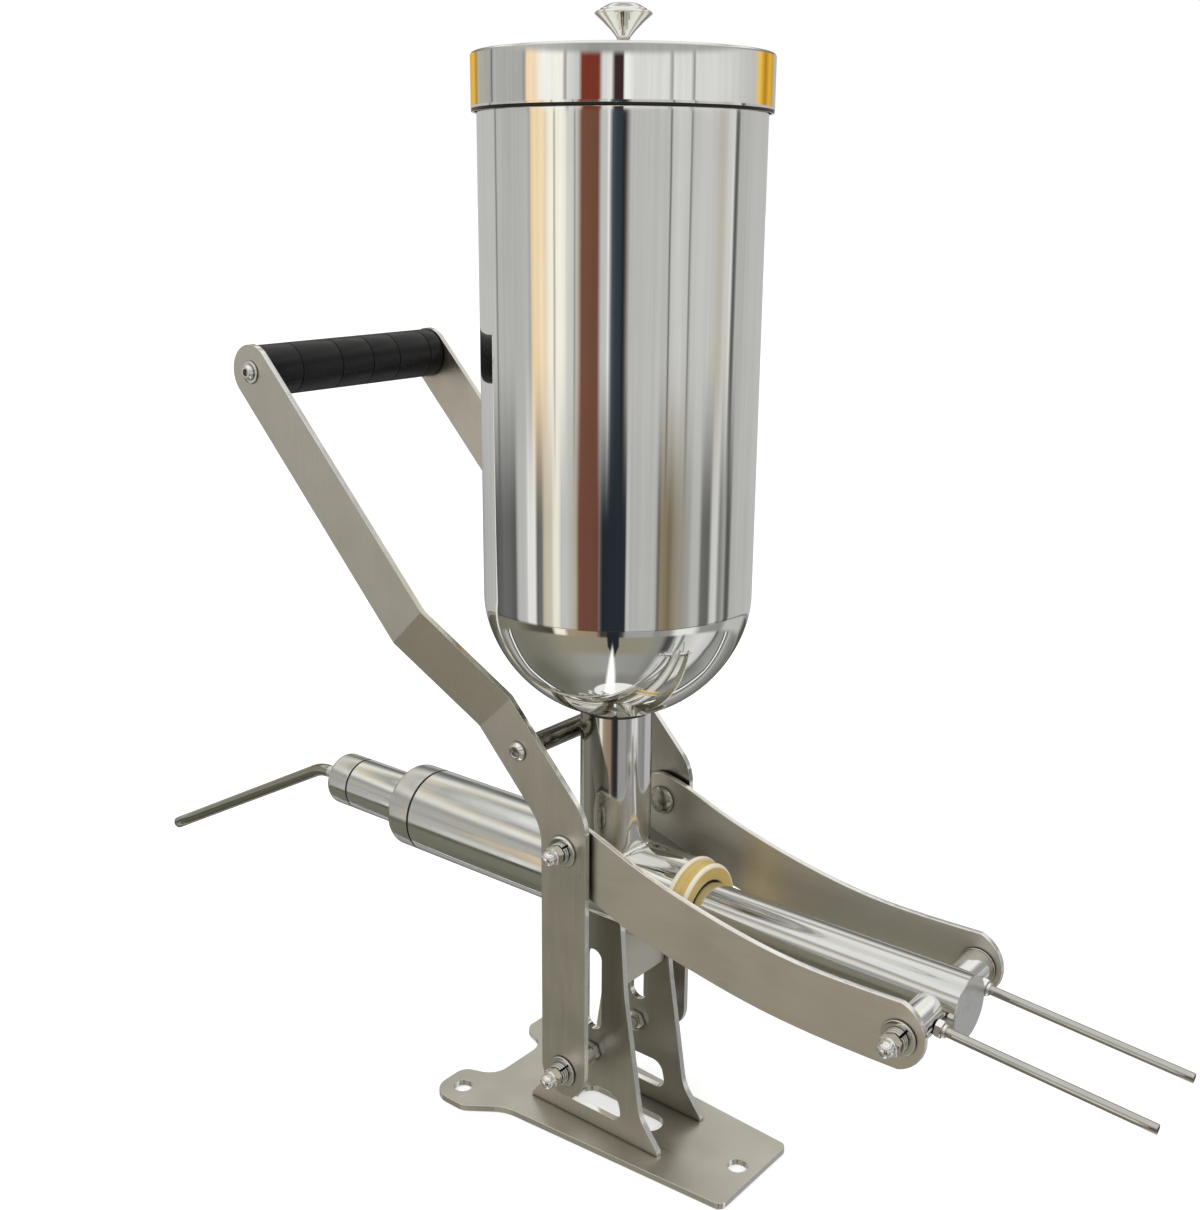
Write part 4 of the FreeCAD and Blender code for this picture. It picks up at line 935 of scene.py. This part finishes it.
# The room as the polished parts see it: strip lights, wall panels and a doorway, in bands by height.
BODY_L = [(-180, 0.52), (-119, 0.56), (-117, 0.16), (-115, 0.52), (-98, 0.48), (-80, 0.52), (-76, 0.44), (-74, (0.95, 0.73, 0.45)), (-66, (1.0, 0.80, 0.54)), (-61, (0.85, 0.74, 0.57)),
          (-58, (1.0, 0.97, 0.88)), (-54.2, (1.0, 0.96, 0.86)), (-53.4, (0.42, 0.38, 0.30)), (-52.4, (1.0, 0.96, 0.88)), (-46, (1.0, 0.97, 0.90)), (-42, 0.70), (-37.2, 0.66), (-36.4, 0.22), (-35.4, 0.62), (-34, (0.58, 0.50, 0.44)), (-31, (0.20, 0.085, 0.055)), (-18, (0.17, 0.075, 0.05)), (-15.5, 0.55),
          (-11, 0.62), (-9.5, 1.0), (-8, (0.10, 0.12, 0.14)), (-5, (0.045, 0.06, 0.08)), (0, (0.03, 0.04, 0.055)), (2, (0.012, 0.014, 0.018)), (3.2, (0.10, 0.08, 0.075)), (7, 0.54), (31, 0.55)]
BODY_R = [(28, 0.55), (36.5, 0.56), (38, 0.13), (39.5, 0.62), (46, 0.66), (53.5, 0.60), (55, 0.16), (56.5, 0.58), (66, 0.62), (76, 0.60), (84, (0.52, 0.49, 0.43)), (95, 0.72),
          (97, 0.75), (99, 0.10), (102, 0.13), (104, 0.48), (130, 0.55), (155, 0.52), (180, 0.52)]
LOW_L = [(-180, 0.22), (-150, 0.46), (-126, 0.50), (-124, 0.08), (-121, 0.11), (-108, 0.16), (-95, 0.10), (-92, 0.50), (-82, 0.55), (-80, 0.88), (-73, 0.85), (-70.5, 0.15), (-65.5, 0.17),
         (-64, (0.54, 0.48, 0.39)), (-56, (0.66, 0.60, 0.50)), (-54, (0.93, 0.90, 0.82)), (-50, (0.90, 0.87, 0.79)), (-48, 0.58), (-42.2, 0.58), (-41.5, 0.14), (-40.8, 0.55), (-35, (0.46, 0.40, 0.32)),
         (-32.5, (0.18, 0.075, 0.05)), (-16, (0.15, 0.065, 0.045)), (-15, 0.22), (-13.8, (0.02, 0.026, 0.035)), (5.6, (0.022, 0.03, 0.04)), (6.6, 0.10), (7.2, 0.72), (9, 0.50), (31, 0.50)]
LOW_R = [(28, 0.50), (31, 0.46), (33, 0.09), (35, (0.30, 0.25, 0.17)), (42, (0.20, 0.16, 0.10)), (50, (0.33, 0.30, 0.24)), (60, 0.36), (64, 0.50), (70, 0.52), (73, 0.16), (81, 0.14),
         (84, 0.62), (89, 0.70), (93, 0.22), (99, 0.40), (102, 0.09), (106, 0.12), (109, 0.50), (150, 0.52), (180, 0.46)]
HIGH_L = [(-180, 0.46), (-171, 0.46), (-168, (0.75, 0.40, 0.03)), (-150, (0.85, 0.52, 0.08)), (-142, (0.50, 0.24, 0.02)), (-139, (0.50, 0.46, 0.38)), (-116, 0.42), (-114, 0.12), (-112, 0.46), (-80, 0.44), (-77, 0.30),
          (-75, (1.0, 0.76, 0.50)), (-66, (1.0, 0.84, 0.62)), (-62, 1.0), (-45, (1.0, 0.98, 0.93)), (-42.5, 0.25), (-41, 0.75), (-32, 0.62), (-30, (0.21, 0.04, 0.025)), (-17, (0.20, 0.04, 0.025)),
          (-14.5, 0.75), (-8, 0.85), (-6.5, (0.045, 0.025, 0.025)), (0, (0.05, 0.025, 0.025)), (1.5, 1.0), (5, 0.95), (8, 0.76), (31, 0.80)]
HIGH_R = [(28, 0.80), (34.5, 0.80), (36, 0.10), (37.5, 0.80), (51.5, 0.78), (53, 0.14), (55, 0.78), (80, 0.74), (94, 0.66), (112, 0.56), (118, (0.70, 0.58, 0.40)), (122, (0.95, 0.60, 0.08)), (132, (0.45, 0.22, 0.02)),
          (140, (0.85, 0.50, 0.05)), (150, (0.60, 0.36, 0.05)), (154, 0.50), (180, 0.46)]
half = map_range(nt, turn01, at(29.4), at(29.6), 0.0, 1.0)


def strips(left, right):
    return mix_col(nt, half, ramp(turn01, [(at(a_), c_) for a_, c_ in left]), ramp(turn01, [(at(a_), c_) for a_, c_ in right]))


el = sep.outputs[2]
body_w, low_w, high_w = strips(BODY_L, BODY_R), strips(LOW_L, LOW_R), strips(HIGH_L, HIGH_R)
wall = mix_col(nt, map_range(nt, el, -0.10, -0.23, 0.0, 1.0, True), body_w, low_w)
wall = mix_col(nt, map_range(nt, el, 0.0485, 0.0505, 0.0, 1.0), wall, high_w)
# the strips run up the walls and give way to the ceiling with two soft boxes
calm = ramp(turn01, [(at(-180), (0.165, 0.162, 0.145)), (at(-140), (0.26, 0.25, 0.225)), (at(-100), (0.50, 0.48, 0.43)), (at(-60), 0.52), (at(-20), 0.34), (at(20), 0.44), (at(90), 0.40), (at(140), 0.24), (at(180), (0.165, 0.162, 0.145))])
wall = mix_col(nt, map_range(nt, el, 0.135, 0.165, 0.0, 1.0, True), wall, calm)
over = ramp(map_range(nt, el, 0.0, 1.0, 0.0, 1.0), [(0.0, 0.36), (0.42, 0.36), (0.48, 0.50), (0.54, 0.88), (0.60, 0.95), (0.63, (0.95, 0.90, 0.78)), (0.67, (0.78, 0.70, 0.54)), (0.70, 0.55), (0.74, 0.40), (0.77, 0.70), (0.80, 1.0), (0.90, 1.0), (1.0, 0.8)])
glossy = mix_col(nt, map_range(nt, el, 0.30, 0.46, 0.0, 1.0, True), wall, over)
# the ground: pale beyond the object, a dark seam, then a nearer floor that is olive and dark to the left
side_g = ramp(turn01, [(at(-180), (0.05, 0.05, 0.035)), (at(-150), (0.10, 0.098, 0.075)), (at(-120), (0.20, 0.195, 0.15)), (at(-98), (0.22, 0.215, 0.17)), (at(-80), (0.11, 0.105, 0.08)), (at(-57), (0.07, 0.066, 0.05)),
                       (at(-54), (1.0, 0.93, 0.80)), (at(-46), (1.0, 0.93, 0.80)), (at(-43), (0.40, 0.31, 0.22)), (at(-18), (0.33, 0.25, 0.18)), (at(-14), (0.07, 0.05, 0.04)), (at(4), (0.05, 0.045, 0.04)), (at(7), 0.36), (at(28), 0.38)])
side_r = ramp(turn01, [(at(28), 0.38), (at(33), 0.28), (at(46), 0.32), (at(52), 0.85), (at(68), 0.85), (at(76), 0.32), (at(100), 0.28), (at(108), 0.55), (at(138), 0.52), (at(150), (0.10, 0.10, 0.08)), (at(180), (0.05, 0.05, 0.035))])
side_g = mix_col(nt, half, side_g, side_r)
mid_g = ramp(turn01, [(at(-180), (0.22, 0.215, 0.18)), (at(-135), (0.21, 0.205, 0.17)), (at(-100), (0.20, 0.195, 0.16)), (at(-75), (0.22, 0.215, 0.175)), (at(-52), (0.30, 0.28, 0.22)), (at(-35), (0.32, 0.285, 0.22)), (at(-12), (0.30, 0.27, 0.21)), (at(30), (0.31, 0.295, 0.235))])
mid_r = ramp(turn01, [(at(28), (0.31, 0.295, 0.235)), (at(40), 0.26), (at(45), 0.07), (at(50), 0.09), (at(54), 0.55), (at(57), 0.80), (at(60), 0.10), (at(63), 0.60), (at(80), 0.75), (at(96), 0.62), (at(99), 0.10), (at(103), 0.30), (at(125), 0.40), (at(180), (0.30, 0.29, 0.25))])
mid_g = mix_col(nt, half, mid_g, mid_r)
deep_g = ramp(turn01, [(at(-180), (0.24, 0.235, 0.20)), (at(-155), (0.23, 0.225, 0.19)), (at(-140), (0.17, 0.165, 0.135)), (at(-110), (0.15, 0.148, 0.12)), (at(-95), (0.16, 0.158, 0.13)), (at(-70), (0.24, 0.235, 0.205)), (at(-45), (0.34, 0.335, 0.30)), (at(-15), 0.36), (at(30), 0.30)])
deep_r = ramp(turn01, [(at(28), 0.30), (at(40), 0.24), (at(47), 0.62), (at(52), 0.70), (at(55), 0.07), (at(58), 0.55), (at(61), 0.90), (at(63), 0.06), (at(66), 0.55), (at(69), 0.85), (at(72), 0.06), (at(75), 0.50), (at(84), 0.70), (at(92), 0.75), (at(100), 0.18), (at(125), 0.30), (at(180), (0.20, 0.195, 0.17))])
deep_g = mix_col(nt, half, deep_g, deep_r)
ground = mix_col(nt, map_range(nt, el, -0.415, -0.46, 0.0, 1.0, True), side_g, mid_g)
ground = mix_col(nt, map_range(nt, el, -0.66, -0.80, 0.0, 1.0, True), ground, deep_g)
ground = mix_col(nt, map_range(nt, el, -0.90, -0.975, 0.0, 1.0, True), ground, (0.24, 0.24, 0.22))
ground = mix_col(nt, map_range(nt, el, -0.979, -0.982, 0.0, 1.0), ground, (0.92, 0.92, 0.90))
# the dark doorway's reflection runs on over the floor and ends in two prongs round a bright flare
across = math_node(nt, "ADD", wrap.outputs[0], math.radians(3.6))
off_axis = math_node(nt, "ABSOLUTE", across)
leg_half = map_range(nt, el, -0.60, -0.82, math.radians(5.2), 0.0)
leg_dark = map_range(nt, math_node(nt, "SUBTRACT", leg_half, off_axis), -0.010, 0.010, 0.0, 1.0)
ground = mix_col(nt, math_node(nt, "MULTIPLY", leg_dark, map_range(nt, el, -0.80, -0.77, 0.0, 1.0)), ground, (0.02, 0.024, 0.032))
sideways = node(nt, "ShaderNodeVectorMath", operation="DOT_PRODUCT")
link(nt, tc.outputs["Generated"], sideways.inputs[0])
sideways.inputs[1].default_value = (0.787, 0.617, 0.0)
flare_half = map_range(nt, el, -0.50, -0.95, 0.0, 0.052)
from_flare = math_node(nt, "ABSOLUTE", math_node(nt, "ADD", sideways.outputs["Value"], 0.062))
flare = map_range(nt, math_node(nt, "SUBTRACT", flare_half, from_flare), -0.010, 0.030, 0.0, 1.0, True)
ground = mix_col(nt, math_node(nt, "MULTIPLY", flare, map_range(nt, el, -0.50, -0.66, 0.0, 1.0)), ground, (1.25, 1.25, 1.22))
dotn = node(nt, "ShaderNodeVectorMath", operation="DOT_PRODUCT")
link(nt, tc.outputs["Generated"], dotn.inputs[0])
dotn.inputs[1].default_value = (-0.602, 0.749, -0.276)
away = dotn.outputs["Value"]
seam_at = map_range(nt, el, -0.30, -0.70, 0.40, 0.68)
past = math_node(nt, "SUBTRACT", away, seam_at)
rim = ramp(map_range(nt, past, -0.10, 0.60, 0.0, 1.0), [(0.0, 0.30), (0.02, 0.035), (0.045, 0.035), (0.06, 1.0), (0.10, 1.0), (0.115, 0.03), (0.135, 0.04), (0.155, 0.34), (0.22, 0.42), (0.235, 0.62), (0.26, 0.34),
                                                       (0.36, 0.28), (0.50, 0.22), (0.70, 0.14), (1.0, 0.09)])
ground = mix_col(nt, math_node(nt, "MULTIPLY", map_range(nt, past, -0.10, -0.085, 0.0, 1.0, True), map_range(nt, el, -0.43, -0.48, 0.0, 1.0, True)), ground, rim)
glossy = mix_col(nt, map_range(nt, el, -0.325, -0.345, 0.0, 1.0, True), glossy, ground)
skirting = math_node(nt, "MULTIPLY", map_range(nt, el, -0.335, -0.328, 0.0, 1.0), map_range(nt, el, -0.322, -0.315, 1.0, 0.0))
glossy = mix_col(nt, math_node(nt, "MULTIPLY", skirting, 0.55), glossy, (0.05, 0.05, 0.045))
# fine vertical unevenness of the walls
comb = node(nt, "ShaderNodeCombineXYZ")
link(nt, math_node(nt, "MULTIPLY", turn01, 95.0), comb.inputs[0])
link(nt, math_node(nt, "MULTIPLY", el, 2.5), comb.inputs[1])
streak = map_range(nt, noise(nt, comb.outputs[0], 1.0, 3.0, 0.65), 0.3, 0.7, -0.075, 0.06)
streak = math_node(nt, "ADD", math_node(nt, "MULTIPLY", streak, map_range(nt, el, -0.33, -0.27, 0.0, 1.0)), 1.0)
cs = node(nt, "ShaderNodeVectorMath", operation="SCALE")
link(nt, glossy, cs.inputs[0])
link(nt, streak, cs.inputs["Scale"])
glossy = cs.outputs[0]
lp = node(nt, "ShaderNodeLightPath")
col = mix_col(nt, lp.outputs["Is Glossy Ray"], (1.10, 1.10, 1.09), glossy)
col = mix_col(nt, lp.outputs["Is Camera Ray"], col, (1.0, 1.0, 1.0))
link(nt, col, bg.inputs["Color"])
bg.inputs["Strength"].default_value = 1.0


def area(name, loc, aim, size, power, color=(1, 1, 1)):
    ld = bpy.data.lights.new(name, "AREA")
    ld.shape = "RECTANGLE"
    ld.size, ld.size_y = size
    ld.energy = power
    ld.color = color
    o = bpy.data.objects.new(name, ld)
    o.location = loc
    o.rotation_euler = (Vector(aim) - Vector(loc)).to_track_quat("-Z", "Y").to_euler()
    bpy.context.scene.collection.objects.link(o)
    return o


key = area("key_softbox", (-0.5, -1.3, 1.7), (-0.05, 0, 0.25), (1.0, 0.8), 10.0)
key.visible_glossy = False
bpy.context.scene.view_settings.view_transform = "Standard"

cam_data = bpy.data.cameras.new("camera")
cam = bpy.data.objects.new("camera", cam_data)
bpy.context.scene.collection.objects.link(cam)
cam_data.sensor_fit = "AUTO"
cam_data.sensor_width = 36.0
cam_data.lens = 1453.75 / 1210 * 36.0
cam_data.clip_start, cam_data.clip_end = 0.02, 100
right = Vector((0.77799, 0.62824, 0.00641))
up = Vector((-0.17817, 0.21082, 0.96115))
back = Vector((0.60248, -0.74891, 0.27595))
mat = Matrix((right, up, back)).transposed().to_4x4()
mat.translation = Vector((0.39293, -0.62050, 0.55539))
cam.matrix_world = mat
bpy.context.scene.camera = cam
